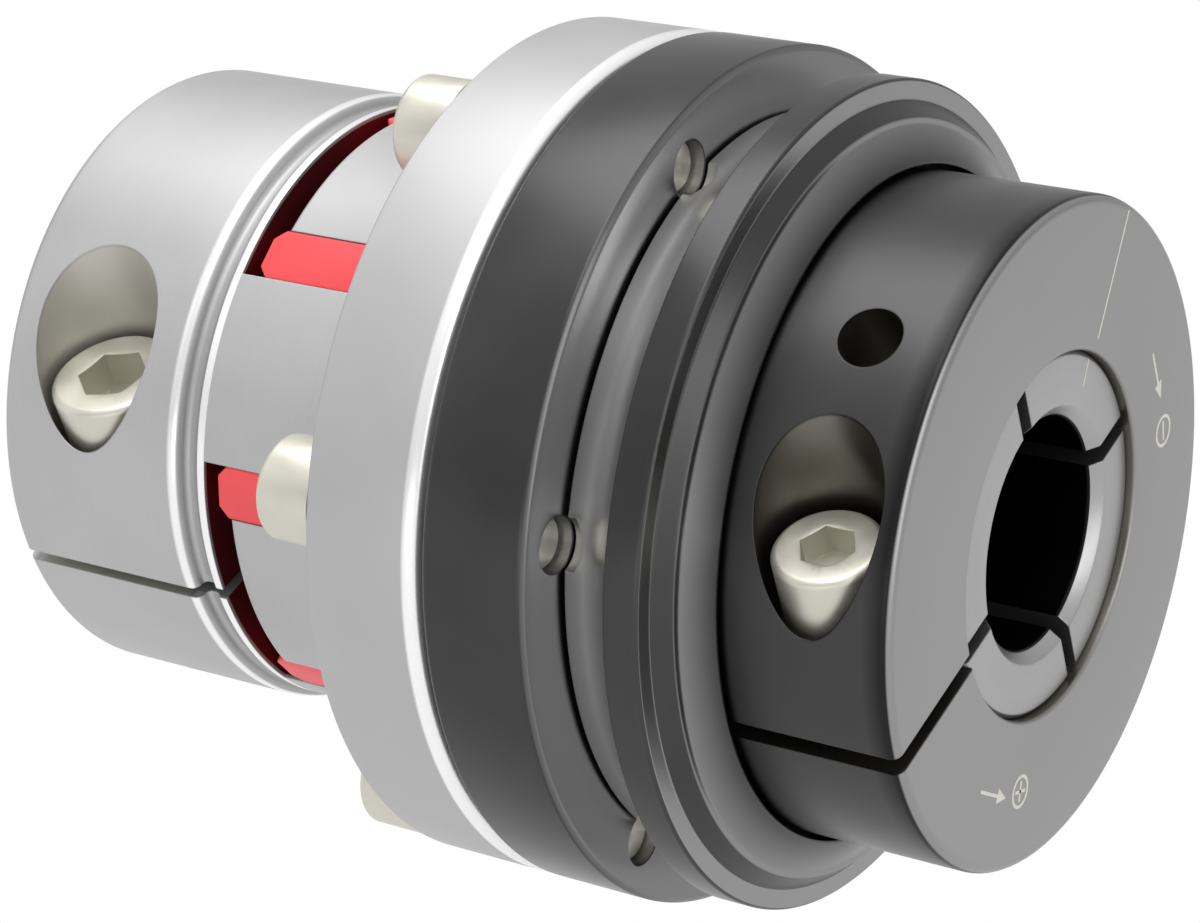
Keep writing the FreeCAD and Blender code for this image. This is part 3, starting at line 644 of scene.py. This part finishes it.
# %% Prisms and cuts
ALONG_SHAFT = Vector((1, 0, 0))
SIDEWAYS = Vector((0, 1, 0))


def prism(name, outline, low, high, axis=ALONG_SHAFT, up=SIDEWAYS, base=(0, 0, 0)):
    """Closed prism. The outline is given across the axis, in millimetres from its base."""
    axis = Vector(axis).normalized()
    side = axis.cross(up).normalized()
    rows = []
    for reach in (low, high):
        for first, second in outline:
            spot = Vector(base) + axis * reach + Vector(up) * first + side * second
            rows.append(spot * MM)
    count = len(outline)
    faces = [tuple(reversed(range(count))), tuple(range(count, 2 * count))]
    for index in range(count):
        after = (index + 1) % count
        faces.append((index, after, count + after, count + index))
    mesh = bpy.data.meshes.new(name)
    mesh.from_pydata(rows, [], faces)
    return outwards(new_object(name, mesh))


def disc(radius, steps):
    """Round outline."""
    return [(radius * math.cos(2 * math.pi * step / steps),
             radius * math.sin(2 * math.pi * step / steps)) for step in range(steps)]


def turned_about_shaft(item, degrees):
    item.data.transform(Matrix.Rotation(math.radians(degrees), 4, "X"))
    return item


def copies_round(item, count, first=0.0):
    """Copies of a tool, spread around the shaft."""
    made = []
    for index in range(count):
        copy = new_object(item.name + "_copy", item.data.copy())
        made.append(turned_about_shaft(copy, first + 360 * index / count))
    bpy.data.objects.remove(item)
    return made


def cut(piece, tools):
    """Takes the tools away from a piece."""
    for tool in tools:
        tool.data.materials.clear()
        tool.data.materials.append(piece.data.materials[0])
        modifier = piece.modifiers.new("cut", "BOOLEAN")
        modifier.operation = "DIFFERENCE"
        modifier.solver = "EXACT"
        modifier.object = tool
        applied(piece)
        bpy.data.objects.remove(tool)
    return piece


SHARP_FROM = math.radians(32)


def smooth_shaded(piece):
    piece.data.polygons.foreach_set("use_smooth", [True] * len(piece.data.polygons))
    piece.data.set_sharp_from_angle(angle=SHARP_FROM)
    return piece


def seated(piece, body, *nodes):
    """Shades a finished piece, and puts it in place of its CAD nodes."""
    smooth_shaded(piece)
    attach(piece, body)
    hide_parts(*nodes)
    print(piece.name, len(piece.data.polygons), "faces")
    return piece


print("a drill has", len(disc(1, 48)), "sides")

# %% [markdown]
# ## Claw flange
# One half of the jaw coupling: a flange with four claws, turned from a bar and then milled. The
# gaps between the claws are wedges whose sides run parallel to the spider's legs, so each
# tool is a triangle with its tip beyond the shaft. Six screws on a circle hold the flange.

# %% Claw flange
SLIT = 202.5
CLAW_COUNT = 4
CLAW_LEFT = -38.6
CLAW_RADIUS = 38.7
CLAW_ROUND = 0.6
LEG_GAP = 3.4
FLANGE_LEFT = -16
BOLT_COUNT = 6
BOLT_RADIUS = 46.5
FIRST_BOLT = 112.5
BOLT_SPOT = (0, BOLT_RADIUS, 0)


def jaw_tool(name, low, high):
    """Wedge between two claws, pointing along +Y."""
    half = math.radians(360 / (4 * CLAW_COUNT))
    tip = LEG_GAP / math.sin(half)
    reach = 160.0
    outline = [(-tip, 0), (reach * math.cos(half) - tip, reach * math.sin(half)),
               (reach * math.cos(half) - tip, -reach * math.sin(half))]
    return prism(name, outline, low, high)


def on_bolt_circle(tool):
    return copies_round(tool, BOLT_COUNT, FIRST_BOLT)


claw_flange = spun("turned_claw_flange", softened([
    (CLAW_LEFT, 17), (-10, 17), (-10, 33), (-5.7, 33), (-5.7, 36), (0, 36), (0, 50.5),
    (-0.6, 50.5), (-0.6, 51.4, 1.6), (-2.2, 53), (-15.7, 53), (FLANGE_LEFT, 52.7),
    (FLANGE_LEFT, CLAW_RADIUS), (CLAW_LEFT + CLAW_ROUND, CLAW_RADIUS, CLAW_ROUND),
    (CLAW_LEFT, CLAW_RADIUS - CLAW_ROUND)]), "aluminium", 360)
cut(claw_flange, copies_round(jaw_tool("claw_gap", -80, FLANGE_LEFT), CLAW_COUNT, SLIT + 45))
cut(claw_flange, on_bolt_circle(prism("bolt_hole", disc(4.5, 48), -20, 5, base=BOLT_SPOT)))
seated(claw_flange, "output", "claw_flange")

# %% [markdown]
# ## Clamp hub
# The other half of the jaw coupling grips its shaft by a slit that a screw pulls together.
# The screw lies across the slit in a round pocket, whose floor is deep enough to leave a dark
# gap round the head. The nut further on is clamped the same way, so both clamps are given as
# rows of sizes. All tools are made in one plain position, with the slit pointing down, and
# then turned about the shaft together.

# %% Sizes and tools of the two clamps
HUB_CLAMP = {"place": -60.4, "offset": 27, "seat": 8.5, "pocket": 18, "reach": 79.4,
             "slit": 1.6, "turn": -20,
             "head": 16, "height": 13.7, "shank": 10, "length": 32.5, "key": 8}
NUT_CLAMP = {"place": 42.7, "offset": 29.8, "seat": 9.8, "pocket": 15.7, "reach": 80.6,
             "slit": 2.4, "turn": 0,
             "head": 13, "height": 11.6, "shank": 8, "length": 27.5, "key": 6}
SCREW_SIZES = ("head", "height", "shank", "length", "key")
SLIT_RUN = 60


def clamp_tools(sizes):
    """Pocket, screw hole and slit of a clamp."""
    place, seat, reach = sizes["place"], sizes["seat"], sizes["reach"]
    shank, half_slit = sizes["shank"] / 2, sizes["slit"] / 2
    base = (place, 0, -sizes["offset"])
    along = Vector((0, -1, 0))
    up = Vector((0, 0, 1))
    down = Vector((0, 0, -1))
    tools = [
        prism("pocket", disc(sizes["pocket"] / 2, 128), seat, reach, along, up, base),
        prism("clearance", disc(shank + 0.25, 48), -0.5, seat + 0.5, along, up, base),
        prism("thread", disc(shank + 0.01, 48), seat - sizes["length"] - 1.5, 0, along, up, base),
        prism("slit", [(-SLIT_RUN, -half_slit), (SLIT_RUN, -half_slit),
                       (SLIT_RUN, half_slit), (-SLIT_RUN, half_slit)],
              0, reach, down, ALONG_SHAFT, (place, 0, 0)),
    ]
    return [turned_about_shaft(tool, SLIT + 90) for tool in tools]


print("clamp screws:", HUB_CLAMP["shank"], "and", NUT_CLAMP["shank"], "mm")

# %% Clamp hub
HUB_SHOULDER = -42.2
HUB_TIP = -19.6
HUB_LEFT = -73.6
clamp_hub = spun("turned_clamp_hub", softened([
    (HUB_LEFT + 1.5, 14), (HUB_SHOULDER, 14), (HUB_SHOULDER, 17), (HUB_TIP, 17),
    (HUB_TIP, CLAW_RADIUS - CLAW_ROUND, CLAW_ROUND), (HUB_TIP - CLAW_ROUND, CLAW_RADIUS),
    (-43.3, CLAW_RADIUS, -1.6), (-44.3, 37.9), (-45.0, 37.9, -0.7), (-45.6, 38.6, 1.1),
    (-46.7, 39.7), (HUB_LEFT + 1.4, 39.7, 1.4), (HUB_LEFT, 38.3), (HUB_LEFT, 15.5)]),
    "aluminium", 360)
cut(clamp_hub, copies_round(jaw_tool("hub_gap", HUB_SHOULDER, 40), CLAW_COUNT, SLIT))
cut(clamp_hub, clamp_tools(HUB_CLAMP))
seated(clamp_hub, "coupled_hub", "clamp_hub")

# %% [markdown]
# ## Flange ring and switching ring
# The flange ring is drilled through for the flange's screws, whose ends show in the holes. The
# switching ring has a long hollow neck with a rim, which lets a switch see it move when the
# limiter trips. A cone leads from the rim to a thin lip over the nut's root. The drill went a
# little into the neck too, which leaves six notches behind the holes.

# %% Flange ring and switching ring
flange_ring = spun("turned_flange_ring", softened([
    (3.3, 30.2), (7.8, 30.2), (7.8, 42), (14, 42), (14, 52.4), (13.4, 53), (0.6, 53),
    (0, 52.4), (0, 36), (3.3, 36)]), "dark", 360)
cut(flange_ring, on_bolt_circle(prism("tap", disc(3.4, 64), -5, 30, base=BOLT_SPOT)))
seated(flange_ring, "output", "flange_ring")

NECK_RADIUS = 45.3
NECK_ROUND = 6.1
RIM_LEFT, RIM_FOOT = 23, 50.6
NECK_RUN = math.sqrt(NECK_ROUND ** 2 - (NECK_ROUND - (RIM_FOOT - NECK_RADIUS)) ** 2)
switching_ring = spun("turned_switching_ring", softened([
    (13.33, 25.05), (19.53, 25.05), (19.53, 41), (31.9, 41), (31.9, 41.3),
    (29.4, 45.4), (29.4, 46.2), (27.4, 48.0), (27.4, 50.3), (27.1, RIM_FOOT),
    (RIM_LEFT, RIM_FOOT, -NECK_ROUND), (RIM_LEFT - NECK_RUN, NECK_RADIUS),
    (14.4, NECK_RADIUS), (14.4, 38.5), (16.03, 38.5), (16.03, 29.5), (13.33, 29.5)]), "dark", 360)
drill_end = spun("drill_end", [Vector(spot) for spot in (
    (12, 0.01), (17.6, 0.01), (15.6, 3.4), (12, 3.4))], "dark", 64)
drill_end.data.transform(Matrix.Translation(Vector(BOLT_SPOT) * MM))
cut(switching_ring, on_bolt_circle(drill_end))
seated(switching_ring, "detent", "switching_ring")

# %% [markdown]
# ## Adjusting nut and sleeve
# The nut is slit on one side and clamped by its own screw, so the torque stays set. A small
# hole takes a hook wrench. The sleeve's end is slotted four times, and the nut's clamp
# presses it onto the shaft.

# %% Adjusting nut
WRENCH_HOLE = 132
adjusting_nut = spun("turned_adjusting_nut", softened([
    (29.03, 22.05), (NUT_FRONT - 0.3, 22.05), (NUT_FRONT, 22.35), (NUT_FRONT, 39.1, 1.2),
    (51.83, 40.3), (29.53, 40.3), (29.03, 39.8)]), "nut", 360)
cut(adjusting_nut, clamp_tools(NUT_CLAMP))
wrench_hole = prism("wrench_hole", disc(3.8, 64), 29.3, 60, SIDEWAYS, ALONG_SHAFT, (42.83, 0, 0))
cut(adjusting_nut, [turned_about_shaft(wrench_hole, WRENCH_HOLE)])
seated(adjusting_nut, "nut", "adjusting_nut")

# %% Hub sleeve
hub_sleeve = spun("turned_hub_sleeve", softened([
    (-7.5, 14), (50.53, 14), (52.03, 15.5), (52.03, 21.4), (51.43, 22), (25.53, 22),
    (25.53, 25), (12.3, 25), (12.3, 41.5), (8, 41.5), (8, 29.5), (3.3, 29.5), (3.3, 27.5),
    (-5.7, 27.5), (-5.7, 26.5), (-7.2, 26.5), (-7.2, 27.5), (-9, 27.5), (-9, 15.5)], 0.15),
    "sleeve", 256)
slot_tool = prism("slot", [(0, -1.2), (44, -1.2), (44, 1.2), (0, 1.2)], 32.03, 70)
cut(hub_sleeve, copies_round(slot_tool, 4, SLIT))
seated(hub_sleeve, "hub", "hub_sleeve")

# %% [markdown]
# ## Spider
# The red spider is moulded in one piece: a ring with eight legs. Its legs have cut corners,
# which let the coupling be plugged together blind. One leg is made once and a tree spreads
# eight of them round the ring.

# %% A tree that repeats a piece round the shaft
def around_tree():
    tree = bpy.data.node_groups.new("repeat_round_shaft", "GeometryNodeTree")
    sockets = {"Piece": group_input(tree, "Piece", "NodeSocketGeometry"),
               "Count": group_input(tree, "Count", "NodeSocketInt", 6),
               "First Angle": group_input(tree, "First Angle", "NodeSocketFloat", 0.0),
               "Finish": group_input(tree, "Finish", "NodeSocketMaterial")}
    start = tree.nodes.new("NodeGroupInput")
    piece, count, first, finish = (Wire(tree, start.outputs[name]) for name in sockets)
    points = add_node(tree, "GeometryNodePoints", entries={"Count": count, "Radius": 0.001})
    index = add_node(tree, "GeometryNodeInputIndex")
    angle = index / count * (2 * math.pi) + first
    placed = add_node(tree, "GeometryNodeInstanceOnPoints", entries={
        "Points": points, "Instance": piece, "Rotation": vector_of(tree, angle, 0.0, 0.0)})
    real = add_node(tree, "GeometryNodeRealizeInstances", entries={"Geometry": placed})
    group_output(tree, add_node(tree, "GeometryNodeSetMaterial", entries={
        "Geometry": real, "Material": finish}))
    return tree, sockets


AROUND, AROUND_SOCKETS = around_tree()
print("repeat inputs:", ", ".join(AROUND_SOCKETS))


def repeated(piece, count, first_degrees, finish):
    """Spreads copies of a piece round the shaft, in one mesh."""
    run_tree(piece, AROUND, {
        AROUND_SOCKETS["Count"]: count,
        AROUND_SOCKETS["First Angle"]: math.radians(first_degrees),
        AROUND_SOCKETS["Finish"]: finishes[finish]})
    return one_finish(piece, finish)


# %% Spider
def bevelled(piece, width):
    """Rounds the sharp edges of a piece by a width in millimetres."""
    modifier = piece.modifiers.new("rounded", "BEVEL")
    modifier.width = width * MM
    modifier.segments = 3
    modifier.limit_method = "ANGLE"
    modifier.angle_limit = math.radians(30)
    return applied(piece)


LEG_COUNT = 8
LEG_LEFT, LEG_RIGHT = -40.3, -17.9
LEG_HALF, LEG_CORNER = 3.37, 1.4
LEG_INNER, LEG_OUTER = 13.25, 38.5
LEG = [(LEG_LEFT + LEG_CORNER, -LEG_HALF), (LEG_RIGHT - LEG_CORNER, -LEG_HALF),
       (LEG_RIGHT, LEG_CORNER - LEG_HALF), (LEG_RIGHT, LEG_HALF - LEG_CORNER),
       (LEG_RIGHT - LEG_CORNER, LEG_HALF), (LEG_LEFT + LEG_CORNER, LEG_HALF),
       (LEG_LEFT, LEG_HALF - LEG_CORNER), (LEG_LEFT, LEG_CORNER - LEG_HALF)]
leg = prism("leg", LEG, LEG_INNER, LEG_OUTER, axis=(0, 0, 1), up=(1, 0, 0))
bevelled(leg, 0.25)
spider = repeated(leg, LEG_COUNT, 0.0, "spider")
spider.name = "moulded_spider"
ring = spun("spider_ring", softened([
    (-36.9, 10), (-21.9, 10), (-21.9, 16.5), (-36.9, 16.5)], 0.6), "spider", 128)
joined = spider.modifiers.new("join", "BOOLEAN")
joined.operation = "UNION"
joined.solver = "EXACT"
joined.use_self = True
joined.object = ring
applied(spider)
bpy.data.objects.remove(ring)
seated(spider, "output", "spider")

# %% [markdown]
# ## Cap screws
# A cap screw is turned too, with a hexagon socket pressed into its head and a small lead-in
# round the socket. The same screw in three sizes holds the flange and clamps the nut and the
# hub. The heads of the two clamp screws are tall, because they fill deep pockets.

# %% Cap screws
SOCKET_SHARE = 0.62
HEAD_ROUND = 0.9
LEAD_SHARE = 0.12


def cap_screw(name, head, height, shank, length, key):
    """Cap screw along the shaft's direction, with its seat at 0 and its head at -X."""
    body = spun(name, softened([
        (-height, 0.01), (length, 0.01), (length, shank / 2 - 0.5), (length - 0.5, shank / 2),
        (0, shank / 2), (0, head / 2), (HEAD_ROUND - height, head / 2, HEAD_ROUND),
        (-height, head / 2 - HEAD_ROUND)], 0.12), "screw", 96)
    corner = key / 2 / math.cos(math.radians(30))
    socket = prism("socket", disc(corner, 6), -height - 1, SOCKET_SHARE * key - height)
    cut(body, [socket])
    lead = spun("lead", [Vector(spot) for spot in (
        (-height - 0.1, 0.02), (-height + key * LEAD_SHARE, 0.02), (-height, corner * 1.02),
        (-height - 0.1, corner * 1.04))], "screw", 96)
    return cut(body, [lead])


def clamp_screw(name, sizes):
    """Cap screw in the pocket of a clamp."""
    screw = cap_screw(name, *(sizes[part] for part in SCREW_SIZES))
    turned_about_shaft(screw, sizes["turn"])
    screw.data.transform(Matrix.Rotation(math.radians(90), 4, "Z"))
    screw.data.transform(Matrix.Translation(
        Vector((sizes["place"], -sizes["seat"], -sizes["offset"])) * MM))
    return turned_about_shaft(screw, SLIT + 90)


flange_screw = cap_screw("flange_cap_screws", head=12.8, height=7.6, shank=6.7, length=28.4, key=6)
flange_screw.data.transform(Matrix.Translation(Vector((FLANGE_LEFT, BOLT_RADIUS, 0)) * MM))
seated(repeated(flange_screw, BOLT_COUNT, FIRST_BOLT, "screw"), "output", "flange_screws")
seated(clamp_screw("nut_cap_screw", NUT_CLAMP), "nut", "nut_clamp_screw")
seated(clamp_screw("hub_cap_screw", HUB_CLAMP), "coupled_hub", "hub_clamp_screw")

# %% [markdown]
# ## Marks on the nut
# The nut's face carries an index line, which a second line on the sleeve answers, and signs
# that say which way the torque grows. They are filled engravings, so they are made as thin
# flat shapes that lie a hair above the face.

# %% Marks
def flat_shape(outlines, place):
    """Flat faces at a place along the shaft, from outlines of (across, up) in millimetres."""
    points = []
    faces = []
    for outline in outlines:
        start = len(points)
        points.extend(Vector((place, across, up)) * MM for across, up in outline)
        faces.append(tuple(range(start, len(points))))
    return points, faces


def stroke(start, end, width):
    """Bar between two points of the face."""
    start, end = Vector(start), Vector(end)
    side = (end - start).normalized().orthogonal() * width / 2
    return [start - side, end - side, end + side, start + side]


def polar(radius, degrees):
    return Vector((radius * math.cos(math.radians(degrees)),
                   radius * math.sin(math.radians(degrees))))


def circle_strokes(centre, radius, width, steps=32):
    """Ring, as short bars."""
    made = []
    inner, outer = radius - width / 2, radius + width / 2
    for step in range(steps):
        first, last = (polar(1, 360 * (step + part) / steps) for part in (0, 1))
        made.append([centre + first * inner, centre + first * outer,
                     centre + last * outer, centre + last * inner])
    return made


HEAD_LENGTH = 2.4
HEAD_HALF = 0.95


def arrow(first, last, radius, width):
    """Straight arrow between two directions on a circle of the face."""
    start, tip = polar(radius, first), polar(radius, last)
    along = (tip - start).normalized()
    side = along.orthogonal()
    neck = tip - along * HEAD_LENGTH
    return [stroke(start, neck, width), [tip, neck + side * HEAD_HALF, neck - side * HEAD_HALF]]


def mark_piece(name, outlines, place, body):
    points, faces = flat_shape(outlines, place)
    mesh = bpy.data.meshes.new(name)
    mesh.from_pydata(points, [], faces)
    piece = new_object(name, mesh)
    shape = bmesh.new()
    shape.from_mesh(mesh)
    for face in shape.faces:
        face.normal_update()
        if face.normal.x < 0:
            face.normal_flip()
    shape.to_mesh(mesh)
    shape.free()
    piece.modifiers.new("thin", "SOLIDIFY").thickness = 0.03 * MM
    applied(piece)
    piece.data.materials.append(finishes["mark"])
    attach(piece, body)


LINE = 0.42
SIGN_RING = 1.9
SIGN_BAR = 1.3


def crossbar(centre, degrees):
    """Bar through the middle of a ringed sign."""
    return stroke(centre + polar(SIGN_BAR, degrees), centre - polar(SIGN_BAR, degrees), LINE)


less, more = polar(30.1, 8.6), polar(30.6, 256.8)
signs = [stroke(polar(23.8, 65.5), polar(39.4, 64.3), 0.3)]
signs += circle_strokes(less, SIGN_RING, LINE) + circle_strokes(more, SIGN_RING, LINE)
signs += [crossbar(less, 98), crossbar(more, 79), crossbar(more, 169)]
signs += arrow(31.1, 17.4, 30.0, LINE) + arrow(236.2, 249.6, 31.1, LINE)
mark_piece("nut_signs", signs, NUT_FRONT + 0.02, "nut")
mark_piece("sleeve_index", [stroke(polar(18.0, 62.4), polar(21.3, 63.1), 0.25)], 52.05, "hub")
print("signs:", len(signs), "strokes")

# %% [markdown]
# ## Pieces that stay as they came
# Bearing, balls, springs and washers sit inside, where only a gap shows them. Their CAD
# meshes are fine enough, so they only get their finish.

# %% Finishes of the inner pieces
INNER = {
    "bearing_inner_ring": "bearing", "bearing_outer_ring": "bearing", "bearing_balls": "ball",
    "bearing_cage": "brass", "retaining_ring": "spring", "detent_balls": "ball",
    "thrust_race": "bearing", "disc_spring_left": "spring", "disc_spring_right": "spring",
    "thrust_washer": "bearing", "dowel_pins": "bearing",
}
for node, finish in INNER.items():
    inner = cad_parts[node]
    inner.data.materials.clear()
    inner.data.materials.append(finishes[finish])
print("inner pieces:", len(INNER))

# %% [markdown]
# ## Studio
# The photograph shows the part on white. The world is white for the camera. Metal mirrors a
# softer world, which is brighter above than below, and everything else is lit by an even one.

# %% World
WORLD_LIGHT = 0.62
MIRRORED_LOW, MIRRORED_HIGH = 0.30, 0.90

world = bpy.data.worlds.new("studio")
bpy.context.scene.world = world
world.use_nodes = True
sky = world.node_tree
sky.nodes.clear()
path = sky.nodes.new("ShaderNodeLightPath")
seen = either(Wire(sky, path.outputs["Is Camera Ray"]),
              Wire(sky, path.outputs["Is Transmission Ray"]))
mirrored = Wire(sky, path.outputs["Is Glossy Ray"])
upwards = parts_of(sky, add_node(sky, "ShaderNodeTexCoord", output="Generated"))[2]
glow = ranged(sky, upwards, -0.5, 0.75, MIRRORED_LOW, MIRRORED_HIGH)
strength = seen + (1 - seen) * (mirrored * glow + (1 - mirrored) * WORLD_LIGHT)
background = add_node(sky, "ShaderNodeBackground", entries={
    "Color": (1, 1, 1, 1), "Strength": strength})
world_out = sky.nodes.new("ShaderNodeOutputWorld")
sky.links.new(background.socket, world_out.inputs["Surface"])
print("world nodes:", len(sky.nodes))

# %% [markdown]
# ## Floor and lamps
# The floor is a plain pale sheet that looks white to the camera, and nearly white where metal
# mirrors it. The photograph shows no shadow under the part, so the floor lies a little lower.
# Four soft boxes shape the round forms: a large one above, a weak one at the left, one at the
# right that lights the nut's face, and a low one in front.

# %% Floor
FLOOR_HEIGHT = -0.12
FLOOR_REACH = 4
FLOOR_MIRRORED = 0.75

floor_material, floor_tree = new_material("pale_floor")
floor_path = floor_tree.nodes.new("ShaderNodeLightPath")
floor_seen = Wire(floor_tree, floor_path.outputs["Is Camera Ray"])
floor_mirrored = Wire(floor_tree, floor_path.outputs["Is Glossy Ray"])
matt = add_node(floor_tree, "ShaderNodeBsdfDiffuse", entries={"Color": (0.8, 0.8, 0.8, 1)})
white = add_node(floor_tree, "ShaderNodeEmission", entries={"Strength": 1.0})
mixed = add_node(floor_tree, "ShaderNodeMixShader", entries={
    0: floor_seen + floor_mirrored * FLOOR_MIRRORED, 1: matt, 2: white})
floor_out = floor_tree.nodes.new("ShaderNodeOutputMaterial")
floor_tree.links.new(mixed.socket, floor_out.inputs["Surface"])
floor_mesh = bpy.data.meshes.new("floor")
floor_mesh.from_pydata([(x * FLOOR_REACH, y * FLOOR_REACH, FLOOR_HEIGHT)
                        for x, y in ((-1, -1), (1, -1), (1, 1), (-1, 1))], [], [(0, 1, 2, 3)])
floor_mesh.materials.append(floor_material)
new_object("floor", floor_mesh)
print("floor at", FLOOR_HEIGHT, "m")

# %% Lamps
def soft_box(name, spot, target, size, power):
    """Rectangular lamp, with its place and size in metres and its power in watts."""
    lamp = bpy.data.lights.new(name, "AREA")
    lamp.shape = "RECTANGLE"
    lamp.size, lamp.size_y = size
    lamp.energy = power
    item = new_object(name, lamp)
    item.location = spot
    item.rotation_euler = (Vector(target) - Vector(spot)).to_track_quat("-Z", "Y").to_euler()


soft_box("over", (-0.1, -0.1, 0.7), (0, 0, 0), (0.9, 0.4), 3.4)
soft_box("left", (-0.7, -0.5, 0.2), (0, 0, 0), (0.4, 0.8), 0.5)
soft_box("right", (0.75, -0.25, 0.25), (0.05, 0, 0), (0.3, 0.8), 1.6)
soft_box("low", (0.15, -0.8, -0.05), (0, 0, 0), (0.7, 0.12), 0.5)

# %% [markdown]
# ## Camera
# The camera stands where the photograph was taken from. Its place, its two angles and its
# focal length in pixels were fitted to corners and circles of the part, and the shaft's axis
# needs a small sideways shift of the picture.

# %% Camera
CAMERA_SPOT = Vector((222.7, -356.1, 146.4)) * MM
CAMERA_YAW = 121.55
CAMERA_PITCH = -19.26
FOCAL_PIXELS = 3587
CENTRE_OFFSET = 97
IMAGE_WIDTH = 1200
SENSOR_WIDTH = 36

camera = bpy.data.cameras.new("camera")
camera.sensor_width = SENSOR_WIDTH
camera.lens = SENSOR_WIDTH * FOCAL_PIXELS / IMAGE_WIDTH
camera.shift_x = -CENTRE_OFFSET / IMAGE_WIDTH
camera.clip_start = 0.01
camera_item = new_object("camera", camera)
yaw, pitch = math.radians(CAMERA_YAW), math.radians(CAMERA_PITCH)
forward = Vector((math.cos(pitch) * math.cos(yaw), math.cos(pitch) * math.sin(yaw),
                  math.sin(pitch)))
camera_item.location = CAMERA_SPOT
camera_item.rotation_euler = forward.to_track_quat("-Z", "Y").to_euler()
bpy.context.scene.camera = camera_item
bpy.context.scene.view_settings.view_transform = "Standard"
print("lens:", round(camera.lens, 1), "mm")
